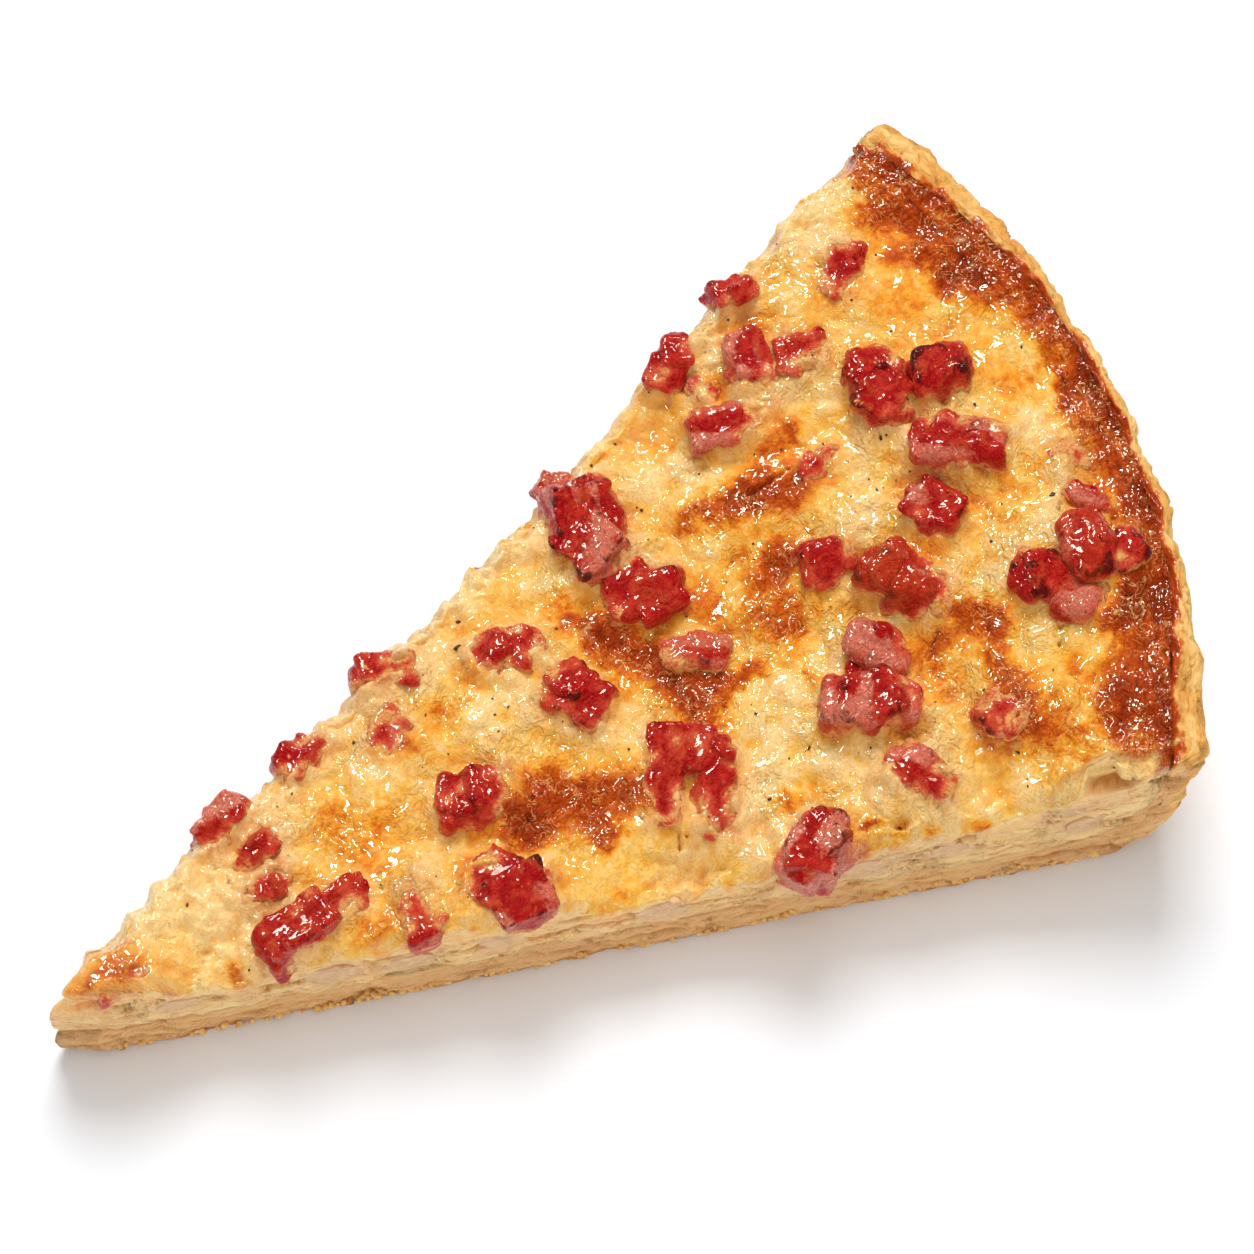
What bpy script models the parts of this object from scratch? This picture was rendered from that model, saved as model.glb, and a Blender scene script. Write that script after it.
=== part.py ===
"""A slice of quiche lorraine: a tenth of a round tart about 270 mm across.

A shortcrust shell with a base, a sloping wall and a rim; a set egg custard with
a browned, uneven top; smoked bacon lardons sunk in that top; and pieces of
cooked ham that show at the near cut. The plan is worked out from the apex,
the point where the two cuts would meet. Metres, +Z up. The slice lies on
z = 0 with its point towards -X and its crust towards +X. The origin is the
middle of the slice's box, at the table.
"""

from math import cos, pi, radians, sin, sqrt
from typing import NamedTuple

import bmesh
import bpy
from mathutils import Matrix, Vector, noise

# The wedge in plan, seen from the apex. Angles count from the slice's axis.
HALF_ANGLE = radians(18.16)
TIP_DISTANCE = 0.0042
TIP_ROUNDING = 0.0042
CUT_UNEVENNESS = 0.0003
CUT_BUMP_SIZE = 0.006
BOX_MIDDLE = Vector((0.06939, 0.00173, 0.0))

# The rim's lip lies on an arc that isn't centred on the apex.
RIM_CENTRE = Vector((0.0425, 0.0122))
RIM_RADIUS = 0.0926
RIM_HEIGHT = 0.0242
RIM_RIPPLE = 0.00035
RIM_RIPPLES = 9.0
RIM_UNEVENNESS = 0.0004

# Rim width: narrow along the arc, wide at the far cut, middling at the near cut.
RIM_WIDTH = 0.0022
FAR_RIM_EXTRA = 0.0030
NEAR_RIM_EXTRA = 0.0018

# The wall outside: how far inside the lip it is, at each share of the rim's height.
WALL_OUTSIDE = (
    (0.0046, 0.06),
    (0.0025, 0.20),
    (0.0013, 0.40),
    (0.0010, 0.62),
    (0.0003, 0.72),
    (0.0000, 0.86),
    (0.0003, 0.96),
)
WALL_FOOT = 0.0062
# The wall inside, from the base up to the rim, the same way.
WALL_INSIDE = ((0.0094, 0.30), (0.0068, 0.42), (0.0050, 0.62), (0.0034, 0.86))
WALL_DRAFT = 0.0003
BASE_CORNER = 0.0125
CORNER_RUN = 0.0024
BASE_THICKNESS = 0.0060
BASE_UNEVENNESS = 0.0002
BASE_BUMP_SIZE = 0.011
BASE_BUMPS_ACROSS = 9.0
BASE_STATIONS = 6
PASTRY_SPANS = 24

# The rim's top, from the lip inwards: a share of its width, and how far it has dropped.
RIM_TOP = ((0.3, 0.0), (0.8, 0.0002))
RIM_INNER_DROP = 0.0008
# The base's rounded nose at the point: how far it stands out, at each share of its height.
TIP_NOSE = ((-0.0001, 0.3), (0.0002, 0.7))
TIP_FOOT = 0.0012

# The custard. Its top climbs from the middle of the slice to the rim.
GAP = 0.0003
CUSTARD_MIDDLE_HEIGHT = 0.0148
CUSTARD_RIM_HEIGHT = 0.0236
CLIMB_START = 0.078
CLIMB_END = 0.124
TOP_BUMPS = 0.00045
TOP_BUMP_SIZE = 0.008
TIP_SETBACK = 0.0005
CUSTARD_SPANS = 14
CUSTARD_STATIONS = 20


class Swell(NamedTuple):
    """A rise or a dip of the custard's top, about a point given from the apex."""

    along: float
    across: float
    radius: float
    rise: float


SWELLS = (
    Swell(0.0110, -0.0015, 0.0060, 0.0018),
    Swell(0.0230, -0.0060, 0.0060, -0.0011),
    Swell(0.0570, -0.0180, 0.0080, -0.0012),
    Swell(0.0480, -0.0140, 0.0070, 0.0010),
    Swell(0.0700, -0.0210, 0.0060, -0.0010),
    Swell(0.0990, -0.0310, 0.0085, -0.0034),
    Swell(0.1090, -0.0360, 0.0060, 0.0018),
    Swell(0.0640, 0.0060, 0.0090, 0.0008),
    Swell(0.0880, 0.0250, 0.0080, -0.0010),
    Swell(0.1050, -0.0170, 0.0070, -0.0008),
    Swell(0.0930, 0.0060, 0.0090, 0.0010),
)


class Lardon(NamedTuple):
    """A cut piece of bacon. Its middle is along and across from the apex.

    turn is its heading in degrees, tilt its roll about its own length and
    pitch its nose-up angle. proud is how far it stands out of the custard.
    taper narrows its far end, and bend bows it sideways.
    """

    along: float
    across: float
    turn: float
    length: float
    width: float
    depth: float = 0.0046
    proud: float = 0.0016
    tilt: float = 0.0
    pitch: float = 0.0
    taper: float = 0.12
    bend: float = 0.0


LARDONS = (
    Lardon(0.0120, -0.0020, 0, 0.0060, 0.0028, 0.0030, 0.0008, tilt=-8),
    Lardon(0.0290, 0.0084, 24, 0.0060, 0.0030, 0.0046, 0.0016, tilt=10),
    Lardon(0.0315, 0.0045, 15, 0.0042, 0.0030, 0.0042, 0.0012, pitch=8),
    Lardon(0.0300, 0.0000, 20, 0.0048, 0.0032, 0.0044, 0.0014, pitch=-10),
    Lardon(0.0325, -0.0062, 11, 0.0126, 0.0038, 0.0050, 0.0022, tilt=-14, bend=0.0006),
    Lardon(0.0400, 0.0112, 10, 0.0056, 0.0030, 0.0044, 0.0012, tilt=8),
    Lardon(0.0420, -0.0102, 80, 0.0066, 0.0034, 0.0044, 0.0012, pitch=-8),
    Lardon(0.0515, -0.0128, -35, 0.0092, 0.0054, 0.0052, 0.0024, tilt=-12, pitch=5),
    Lardon(0.0530, -0.0028, 178, 0.0082, 0.0054, 0.0056, 0.0028, pitch=12, taper=0.5),
    Lardon(0.0490, 0.0086, 55, 0.0052, 0.0048, 0.0048, 0.0014, pitch=-10, taper=0.3),
    Lardon(0.0520, 0.0150, -15, 0.0068, 0.0030, 0.0046, 0.0018, tilt=10),
    Lardon(0.0640, 0.0102, -10, 0.0078, 0.0040, 0.0048, 0.0016, tilt=-8, pitch=6),
    Lardon(0.0680, 0.0020, -55, 0.0072, 0.0050, 0.0054, 0.0026, tilt=14),
    Lardon(0.0788, 0.0180, 72, 0.0110, 0.0066, 0.0066, 0.0036, tilt=16, pitch=6),
    Lardon(0.0766, 0.0254, -5, 0.0030, 0.0022, 0.0034, 0.0010),
    Lardon(0.0802, 0.0088, -12, 0.0076, 0.0050, 0.0052, 0.0020, tilt=-10, pitch=4),
    Lardon(0.0818, 0.0008, -26, 0.0066, 0.0036, 0.0044, 0.0012, tilt=8, taper=0.25),
    Lardon(0.0715, -0.0102, 60, 0.0096, 0.0036, 0.0050, 0.0022, pitch=8, bend=0.0005),
    Lardon(0.0755, -0.0136, 62, 0.0104, 0.0040, 0.0050, 0.0022, pitch=8, bend=-0.0005),
    Lardon(0.0810, -0.0246, 25, 0.0080, 0.0054, 0.0056, 0.0026, tilt=-16, pitch=6),
    Lardon(0.0940, -0.0242, -57, 0.0070, 0.0048, 0.0054, 0.0026, tilt=14, taper=0.35),
    Lardon(0.0935, -0.0150, -32, 0.0092, 0.0052, 0.0062, 0.0034, tilt=-12, taper=0.1),
    Lardon(0.0975, -0.0098, -60, 0.0050, 0.0036, 0.0046, 0.0020, pitch=-8),
    Lardon(0.0980, 0.0012, -11, 0.0050, 0.0044, 0.0050, 0.0024, tilt=10, pitch=8),
    Lardon(0.1035, -0.0060, -54, 0.0096, 0.0044, 0.0050, 0.0024, bend=0.0008, tilt=-6),
    Lardon(0.1050, -0.0230, 10, 0.0046, 0.0038, 0.0042, 0.0014, tilt=-10),
    Lardon(0.0952, 0.0296, 41, 0.0062, 0.0036, 0.0048, 0.0016, tilt=12),
    Lardon(0.0965, 0.0252, -60, 0.0030, 0.0020, 0.0030, 0.0006),
    Lardon(0.1045, 0.0325, -5, 0.0050, 0.0026, 0.0040, 0.0014, tilt=10),
    Lardon(0.1020, 0.0250, 71, 0.0068, 0.0044, 0.0050, 0.0018, tilt=-8, pitch=6),
    Lardon(0.1072, 0.0226, -20, 0.0052, 0.0044, 0.0048, 0.0018, tilt=10),
    Lardon(0.0972, 0.0198, -15, 0.0086, 0.0040, 0.0052, 0.0022, tilt=14, taper=0.2),
    Lardon(0.1030, 0.0108, 0, 0.0046, 0.0028, 0.0038, 0.0012, tilt=-8, taper=0.3),
    Lardon(0.1155, 0.0286, 50, 0.0056, 0.0040, 0.0042, 0.0010, pitch=8),
    Lardon(0.1118, 0.0145, 79, 0.0080, 0.0048, 0.0056, 0.0028, tilt=10, pitch=5),
    Lardon(0.1183, 0.0124, -2, 0.0058, 0.0044, 0.0050, 0.0024, tilt=-12),
    Lardon(0.1155, 0.0040, -35, 0.0094, 0.0054, 0.0058, 0.0030, tilt=-14, pitch=5),
    Lardon(0.1100, -0.0008, -88, 0.0064, 0.0046, 0.0052, 0.0024, tilt=10, pitch=6),
    Lardon(0.1252, -0.0026, -45, 0.0044, 0.0030, 0.0036, 0.0006, tilt=6),
    Lardon(0.1150, -0.0128, -47, 0.0046, 0.0048, 0.0052, 0.0026, tilt=10, taper=0.2),
    Lardon(0.1208, -0.0132, 71, 0.0056, 0.0042, 0.0052, 0.0030, pitch=-10),
    Lardon(0.1243, -0.0150, 54, 0.0036, 0.0028, 0.0040, 0.0024, pitch=10, taper=0.4),
    Lardon(0.1172, -0.0178, -38, 0.0036, 0.0030, 0.0040, 0.0014, tilt=-10),
    Lardon(0.1240, -0.0078, -55, 0.0046, 0.0018, 0.0030, 0.0008, bend=0.0004),
)
LARDON_STATIONS = 3
LARDON_SIDES = 8
LARDON_SQUARENESS = 0.45
LARDON_UNEVENNESS = 0.0003


class Ham(NamedTuple):
    """A piece of ham that the near cut goes through, along and up that cut."""

    along: float
    height: float
    length: float
    thickness: float
    depth: float = 0.0030


HAMS = (
    Ham(0.0171, 0.0100, 0.0054, 0.0030),
    Ham(0.0334, 0.0100, 0.0066, 0.0042),
    Ham(0.0414, 0.0092, 0.0060, 0.0036),
    Ham(0.0507, 0.0104, 0.0044, 0.0036),
    Ham(0.0682, 0.0096, 0.0062, 0.0046),
    Ham(0.0893, 0.0106, 0.0076, 0.0044),
    Ham(0.0990, 0.0108, 0.0046, 0.0036),
    Ham(0.1120, 0.0150, 0.0032, 0.0022),
    Ham(0.1136, 0.0104, 0.0042, 0.0040),
)
HAM_SIDES = 9
HAM_INNER_SHARE = 0.7

PASTRY_COLOUR = (0.72, 0.45, 0.19, 1.0)
CUSTARD_COLOUR = (0.86, 0.62, 0.24, 1.0)
BACON_COLOUR = (0.42, 0.06, 0.03, 1.0)
HAM_COLOUR = (0.62, 0.37, 0.24, 1.0)
SHARP_ANGLE = radians(40)


def clear_scene():
    for old in list(bpy.data.objects):
        bpy.data.objects.remove(old, do_unlink=True)


def smooth_step(share):
    """0 to 1 with a soft start and end, as share goes from 0 to 1."""
    share = min(max(share, 0.0), 1.0)
    return share * share * (3.0 - 2.0 * share)


def plan_point(distance, angle, height):
    """The point at this distance and angle from the apex, in the slice's own frame."""
    return Vector((distance * cos(angle), distance * sin(angle), height)) - BOX_MIDDLE


def cut_normal(side):
    """The way that a cut faces: side is -1 for the near cut, 1 for the far cut."""
    return Vector((-sin(HALF_ANGLE), side * cos(HALF_ANGLE), 0.0))


def side_share(angle):
    """-1 at the near cut, 1 at the far cut."""
    return angle / HALF_ANGLE


def tip_distance(angle):
    return TIP_DISTANCE + TIP_ROUNDING * side_share(angle) ** 2


def rim_reach(angle):
    """How far the rim's arc is from the apex."""
    middle = RIM_CENTRE.x * cos(angle) + RIM_CENTRE.y * sin(angle)
    return middle + sqrt(middle * middle - RIM_CENTRE.length_squared + RIM_RADIUS ** 2)


def lip_distance(angle):
    """How far the rim's lip is from the apex, with its gentle ripples."""
    phase = pi * RIM_RIPPLES * side_share(angle)
    ripple = 1.0 + 0.6 * sin(phase) + 0.4 * sin(1.7 * phase + 1.0)
    return rim_reach(angle) - RIM_RIPPLE * ripple


def rim_height(angle):
    phase = pi * RIM_RIPPLES * side_share(angle)
    return RIM_HEIGHT + RIM_UNEVENNESS * sin(0.6 * phase + 0.5)


def rim_width(angle):
    share = side_share(angle)
    far = max(0.0, (share - 0.3) / 0.7) ** 1.3
    near = smooth_step((-share - 0.45) / 0.35)
    return RIM_WIDTH + FAR_RIM_EXTRA * far + NEAR_RIM_EXTRA * near


def wall_inside(angle, clearance=0.0):
    """The wall's inner side, foot first, as distance and height, moved inwards by clearance.

    Where the rim is wide, the wall drops almost straight down from its inner edge.
    """
    width = rim_width(angle)
    rows = []
    for step, (inset, share) in enumerate(WALL_INSIDE):
        reach = max(inset, width + WALL_DRAFT * (len(WALL_INSIDE) - step))
        rows.append((rim_reach(angle) - reach - clearance, RIM_HEIGHT * share))
    return rows


def base_corner(angle, clearance=0.0):
    """How far from the apex the wall's inner side meets the base."""
    return rim_reach(angle) - max(BASE_CORNER, rim_width(angle) + CORNER_RUN) - clearance


def pastry_section(angle):
    """One radial slice through the shell: its under and outer side, then its upper and inner one.

    Both are rows of distance and height, and both run from the point to the rim.
    """
    lip = lip_distance(angle)
    width = rim_width(angle)
    height = rim_height(angle)
    tip = tip_distance(angle)
    under = [(tip + TIP_FOOT, 0.0), (lip - WALL_FOOT, 0.0)]
    under += [(lip - inset, height * share) for inset, share in WALL_OUTSIDE]
    under += [(lip - inset * width, height - drop) for inset, drop in RIM_TOP]
    upper = [(tip - inset, BASE_THICKNESS * share) for inset, share in TIP_NOSE]
    start = tip + TIP_SETBACK
    corner = base_corner(angle)
    for step in range(BASE_STATIONS):
        distance = start + (corner - start) * step / (BASE_STATIONS - 1)
        bump = noise.noise(Vector((distance / BASE_BUMP_SIZE, angle * BASE_BUMPS_ACROSS, 0.0)))
        upper.append((distance, BASE_THICKNESS - BASE_UNEVENNESS * (1.0 + bump)))
    upper += wall_inside(angle)
    upper.append((lip - width, height - RIM_INNER_DROP))
    return under, upper


def custard_height(along, across):
    """The custard's top, before the lardons are set in it."""
    distance = sqrt(along * along + across * across)
    climb = smooth_step((distance - CLIMB_START) / (CLIMB_END - CLIMB_START))
    height = CUSTARD_MIDDLE_HEIGHT + (CUSTARD_RIM_HEIGHT - CUSTARD_MIDDLE_HEIGHT) * climb
    for swell in SWELLS:
        away = sqrt((along - swell.along) ** 2 + (across - swell.across) ** 2)
        height += swell.rise * smooth_step(1.0 - away / (1.6 * swell.radius))
    spot = Vector((along, across, 0.0)) / TOP_BUMP_SIZE
    return height + TOP_BUMPS * noise.noise(spot) * (1.0 - 0.6 * climb)


def custard_section(angle):
    """One radial slice through the custard, in the same two rows as the pastry's."""
    tip = tip_distance(angle) + TIP_SETBACK
    edge = rim_reach(angle) - rim_width(angle) - RIM_RIPPLE - GAP
    corner = base_corner(angle, GAP)
    floor = BASE_THICKNESS + GAP
    under = []
    for step in range(BASE_STATIONS):
        under.append((tip + (corner - tip) * step / (BASE_STATIONS - 1), floor))
    under += wall_inside(angle, GAP)
    upper = []
    for step in range(CUSTARD_STATIONS + 1):
        distance = tip + (edge - tip) * step / CUSTARD_STATIONS
        height = custard_height(distance * cos(angle), distance * sin(angle))
        upper.append((distance, height))
    return under, upper


def cap(shape, lower, upper):
    """Closes an end with triangles between its two rows, each across the shorter way."""
    low = high = 0
    while low < len(lower) - 1 or high < len(upper) - 1:
        up_next = low == len(lower) - 1
        if not up_next and high < len(upper) - 1:
            ahead = (lower[low + 1].co - upper[high].co).length
            up_next = (upper[high + 1].co - lower[low].co).length < ahead
        if up_next:
            shape.faces.new((lower[low], upper[high + 1], upper[high]))
            high += 1
        else:
            shape.faces.new((lower[low], lower[low + 1], upper[high]))
            low += 1


def loft(name, rings):
    """A closed skin over rings of points, each ring joined to the next and the ends capped.

    A ring is two rows that start together and end together.
    """
    shape = bmesh.new()
    ends = []
    loops = []
    for under, upper in rings:
        lower_row = [shape.verts.new(point) for point in under]
        upper_row = [shape.verts.new(point) for point in upper]
        ends.append((lower_row, upper_row))
        loops.append(lower_row + upper_row[::-1])
    for first, second in zip(loops, loops[1:]):
        for corner in range(len(first)):
            before = corner - 1
            shape.faces.new((first[before], first[corner], second[corner], second[before]))
    bmesh.ops.triangulate(shape, faces=shape.faces[:], quad_method="SHORT_EDGE")
    for lower_row, upper_row in (ends[0], ends[-1]):
        cap(shape, lower_row, upper_row)
    bmesh.ops.recalc_face_normals(shape, faces=shape.faces[:])
    if shape.calc_volume(signed=True) < 0.0:
        bmesh.ops.reverse_faces(shape, faces=shape.faces[:])
    mesh = bpy.data.meshes.new(name)
    shape.to_mesh(mesh)
    shape.free()
    mesh.shade_smooth()
    mesh.set_sharp_from_angle(angle=SHARP_ANGLE)
    return mesh


def wedge_mesh(name, section, spans):
    """The solid that a radial section sweeps out from the near cut to the far cut."""
    rings = []
    for step in range(spans + 1):
        angle = HALF_ANGLE * (2.0 * step / spans - 1.0)
        rings.append([[plan_point(far, angle, up) for far, up in row] for row in section(angle)])
    for ring, side in ((rings[0], -1), (rings[-1], 1)):
        for point in ring[0] + ring[1]:
            point += CUT_UNEVENNESS * noise.noise(point / CUT_BUMP_SIZE) * cut_normal(side)
    return loft(name, rings)


def food_material(name, colour, roughness, coat=0.0):
    material = bpy.data.materials.new(name)
    material.use_nodes = True
    shader = material.node_tree.nodes["Principled BSDF"]
    shader.inputs["Base Color"].default_value = colour
    shader.inputs["Roughness"].default_value = roughness
    shader.inputs["Coat Weight"].default_value = coat
    shader.inputs["Metallic"].default_value = 0.0
    return material


def add_object(name, mesh, material, collection):
    piece = bpy.data.objects.new(name, mesh)
    mesh.materials.append(material)
    collection.objects.link(piece)
    return piece


def lardon_frame(lardon):
    """Where a lardon sits and how it is turned, as a matrix from its own frame."""
    surface = custard_height(lardon.along, lardon.across)
    height = surface + lardon.proud - 0.5 * lardon.depth
    place = Vector((lardon.along, lardon.across, height)) - BOX_MIDDLE
    turn = Matrix.Rotation(radians(lardon.turn), 4, "Z")
    pitch = Matrix.Rotation(-radians(lardon.pitch), 4, "Y")
    tilt = Matrix.Rotation(radians(lardon.tilt), 4, "X")
    return Matrix.Translation(place) @ turn @ pitch @ tilt


def two_rows(ring):
    """A ring of points as the two rows that loft takes."""
    middle = len(ring) // 2
    return ring[:middle], ring[middle:][::-1]


def squared(value):
    """A sine or cosine drawn out towards the corners of a rounded square."""
    return (1 if value >= 0 else -1) * abs(value) ** LARDON_SQUARENESS


def lardon_rings(lardon, seed, grow=0.0):
    """The outline of a lardon at each station along it. grow makes its pocket."""
    rings = []
    frame = lardon_frame(lardon)
    for station in range(LARDON_STATIONS + 1):
        share = 2.0 * station / LARDON_STATIONS - 1.0
        rounding = 1.0 - 0.16 * share ** 4
        narrow = 1.0 - lardon.taper * 0.5 * (share + 1.0)
        bow = lardon.bend * (1.0 - share * share)
        ring = []
        for side in range(LARDON_SIDES):
            angle = 2.0 * pi * (side + 0.5) / LARDON_SIDES
            wobble = LARDON_UNEVENNESS * noise.noise(Vector((share * 1.7, angle, 7.0 * seed)))
            half_width = 0.5 * lardon.width * rounding * narrow + wobble + grow
            half_depth = 0.5 * lardon.depth * rounding * (0.4 + 0.6 * narrow) + wobble + grow
            x = share * (0.5 * lardon.length + grow)
            y = bow + half_width * squared(cos(angle))
            z = half_depth * squared(sin(angle))
            ring.append(frame @ Vector((x, y, z)))
        rings.append(two_rows(ring))
    return rings


def ham_rings(ham, seed, grow=0.0):
    """Two outlines of a piece of ham: one on the near cut, one inside the custard.

    The pocket's outline starts outside the cut, so that the piece is flush with it.
    """
    outward = cut_normal(-1)
    run = Vector((cos(HALF_ANGLE), -sin(HALF_ANGLE), 0.0))
    middle = plan_point(ham.along, -HALF_ANGLE, ham.height)
    rings = []
    for reach, share in ((GAP if grow else 0.0, 1.0), (-ham.depth - grow, HAM_INNER_SHARE)):
        ring = []
        for side in range(HAM_SIDES):
            angle = 2.0 * pi * side / HAM_SIDES
            uneven = 1.0 + 0.28 * noise.noise(Vector((1.3 * cos(angle), 1.3 * sin(angle), 5.0 * seed)))
            sideways = (0.5 * ham.length * uneven * share + grow) * cos(angle)
            upwards = (0.5 * ham.thickness * uneven * share + grow) * sin(angle)
            ring.append(middle + reach * outward + sideways * run + Vector((0.0, 0.0, upwards)))
        rings.append(two_rows(ring))
    return rings


def add_pocket(name, rings, pockets):
    pocket = bpy.data.objects.new(name, loft(name, rings))
    pocket.hide_render = True
    pocket.display_type = "WIRE"
    pockets.objects.link(pocket)
    return pocket


def cut_out(piece, pockets):
    """Takes every pocket in this collection out of the piece."""
    cut = piece.modifiers.new(pockets.name, "BOOLEAN")
    cut.operation = "DIFFERENCE"
    cut.solver = "EXACT"
    cut.operand_type = "COLLECTION"
    cut.collection = pockets


def main():
    clear_scene()
    slice_collection = bpy.data.collections.new("quiche_slice")
    lardon_pockets = bpy.data.collections.new("lardon_pockets")
    ham_pockets = bpy.data.collections.new("ham_pockets")
    for collection in (slice_collection, lardon_pockets, ham_pockets):
        bpy.context.scene.collection.children.link(collection)

    pastry = food_material("shortcrust", PASTRY_COLOUR, 0.75)
    custard = food_material("baked_custard", CUSTARD_COLOUR, 0.35, coat=0.4)
    bacon = food_material("fried_bacon", BACON_COLOUR, 0.3, coat=0.5)
    cooked_ham = food_material("cooked_ham", HAM_COLOUR, 0.5)

    shell_mesh = wedge_mesh("pastry_shell", pastry_section, PASTRY_SPANS)
    add_object("pastry_shell", shell_mesh, pastry, slice_collection)
    filling_mesh = wedge_mesh("custard_filling", custard_section, CUSTARD_SPANS)
    filling = add_object("custard_filling", filling_mesh, custard, slice_collection)

    for number, lardon in enumerate(LARDONS, start=1):
        name = f"lardon_{number:02d}"
        mesh = loft(name, lardon_rings(lardon, number))
        add_object(name, mesh, bacon, slice_collection)
        add_pocket(f"pocket_{number:02d}", lardon_rings(lardon, number, GAP), lardon_pockets)
    for number, ham in enumerate(HAMS, start=1):
        name = f"ham_{number}"
        add_object(name, loft(name, ham_rings(ham, number)), cooked_ham, slice_collection)
        add_pocket(f"ham_pocket_{number}", ham_rings(ham, number, GAP), ham_pockets)
    cut_out(filling, ham_pockets)
    cut_out(filling, lardon_pockets)


main()
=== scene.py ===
"""A slice of quiche lorraine, laid out as an add-on that builds it piece by piece.

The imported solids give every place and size. The custard, the shortcrust shell,
the bacon lardons and the pieces of ham are each rebuilt over their solid with a
fine skin, and pepper and crumbs are scattered over them.
"Along" runs from the apex, where the two cuts would meet, towards the crust;
"across" runs towards the far cut. Metres, +Z up.
"""

from math import radians, sin
from typing import NamedTuple

import bmesh
import bpy
import numpy as np
from bpy.props import FloatProperty, FloatVectorProperty, IntProperty, PointerProperty
from mathutils import Euler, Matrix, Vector, noise
from mathutils.bvhtree import BVHTree


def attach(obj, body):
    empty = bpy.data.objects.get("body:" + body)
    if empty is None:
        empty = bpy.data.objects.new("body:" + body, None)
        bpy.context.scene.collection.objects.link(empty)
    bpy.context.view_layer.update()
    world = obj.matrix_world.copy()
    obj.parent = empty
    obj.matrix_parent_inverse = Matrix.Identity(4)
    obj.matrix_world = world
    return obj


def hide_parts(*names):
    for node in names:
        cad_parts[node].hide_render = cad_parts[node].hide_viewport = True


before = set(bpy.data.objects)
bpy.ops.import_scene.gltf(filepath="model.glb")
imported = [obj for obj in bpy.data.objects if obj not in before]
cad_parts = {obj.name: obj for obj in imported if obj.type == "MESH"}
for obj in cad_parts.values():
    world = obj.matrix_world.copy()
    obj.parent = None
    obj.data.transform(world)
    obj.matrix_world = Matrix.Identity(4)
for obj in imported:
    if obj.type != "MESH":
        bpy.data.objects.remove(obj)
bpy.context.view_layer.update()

bl_info = {
    "name": "Quiche lorraine slice",
    "version": (1, 0, 0),
    "blender": (4, 5, 0),
    "location": "3D View > Sidebar > Quiche",
    "description": "Builds a slice of quiche lorraine and the stage that it lies on",
    "category": "Add Mesh",
}

MM = 0.001

# The wedge, as the solids have it.
HALF_ANGLE = radians(18.16)
TIP_DISTANCE = 4.2 * MM
TIP_ROUNDING = 4.2 * MM
APEX = np.array((-69.39, -1.73, 0.0)) * MM
RIM_CENTRE = np.array((42.5, 12.2)) * MM
RIM_RADIUS = 92.6 * MM
RIM_HEIGHT = 24.2 * MM
RIM_RIPPLE = 0.35 * MM
RIM_RIPPLES = 9.0
RIM_UNEVENNESS = 0.4 * MM
RIM_WIDTH = 2.2 * MM
FAR_RIM_EXTRA = 3.0 * MM
NEAR_RIM_EXTRA = 1.8 * MM
BASE_THICKNESS = 6.0 * MM
BASE_CORNER = 12.5 * MM
CORNER_RUN = 2.4 * MM
WALL_FOOT = 6.2 * MM
TIP_FOOT = 1.2 * MM
# Outside wall: inset from the lip in millimetres, and share of the rim's height.
WALL_OUTSIDE = (
    (4.6, 0.06),
    (2.5, 0.20),
    (1.3, 0.40),
    (1.0, 0.62),
    (0.3, 0.72),
    (0.0, 0.86),
    (0.3, 0.96),
)
WALL_INSIDE = ((9.4, 0.30), (6.8, 0.42), (5.0, 0.62), (3.4, 0.86))
WALL_DRAFT = 0.3 * MM

CUSTARD_MIDDLE_HEIGHT = 14.8 * MM
CUSTARD_RIM_HEIGHT = 23.6 * MM
CLIMB_START = 78.0 * MM
CLIMB_END = 124.0 * MM
TOP_BUMPS = 0.45 * MM
TOP_BUMP_SIZE = 8.0 * MM
TIP_SETBACK = 0.5 * MM

# Rises and dips of the custard's top: along, across, radius and rise in millimetres.
SWELLS = (
    (11.0, -1.5, 6.0, 1.8),
    (23.0, -6.0, 6.0, -1.1),
    (57.0, -18.0, 8.0, -1.2),
    (48.0, -14.0, 7.0, 1.0),
    (70.0, -21.0, 6.0, -1.0),
    (99.0, -31.0, 8.5, -3.4),
    (109.0, -36.0, 6.0, 1.8),
    (64.0, 6.0, 9.0, 0.8),
    (88.0, 25.0, 8.0, -1.0),
    (105.0, -17.0, 7.0, -0.8),
    (93.0, 6.0, 9.0, 1.0),
)


class Patch(NamedTuple):
    """A browned patch: its middle, half length, half width and heading, in mm and degrees."""

    along: float
    across: float
    length: float
    width: float
    turn: float
    strength: float


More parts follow.
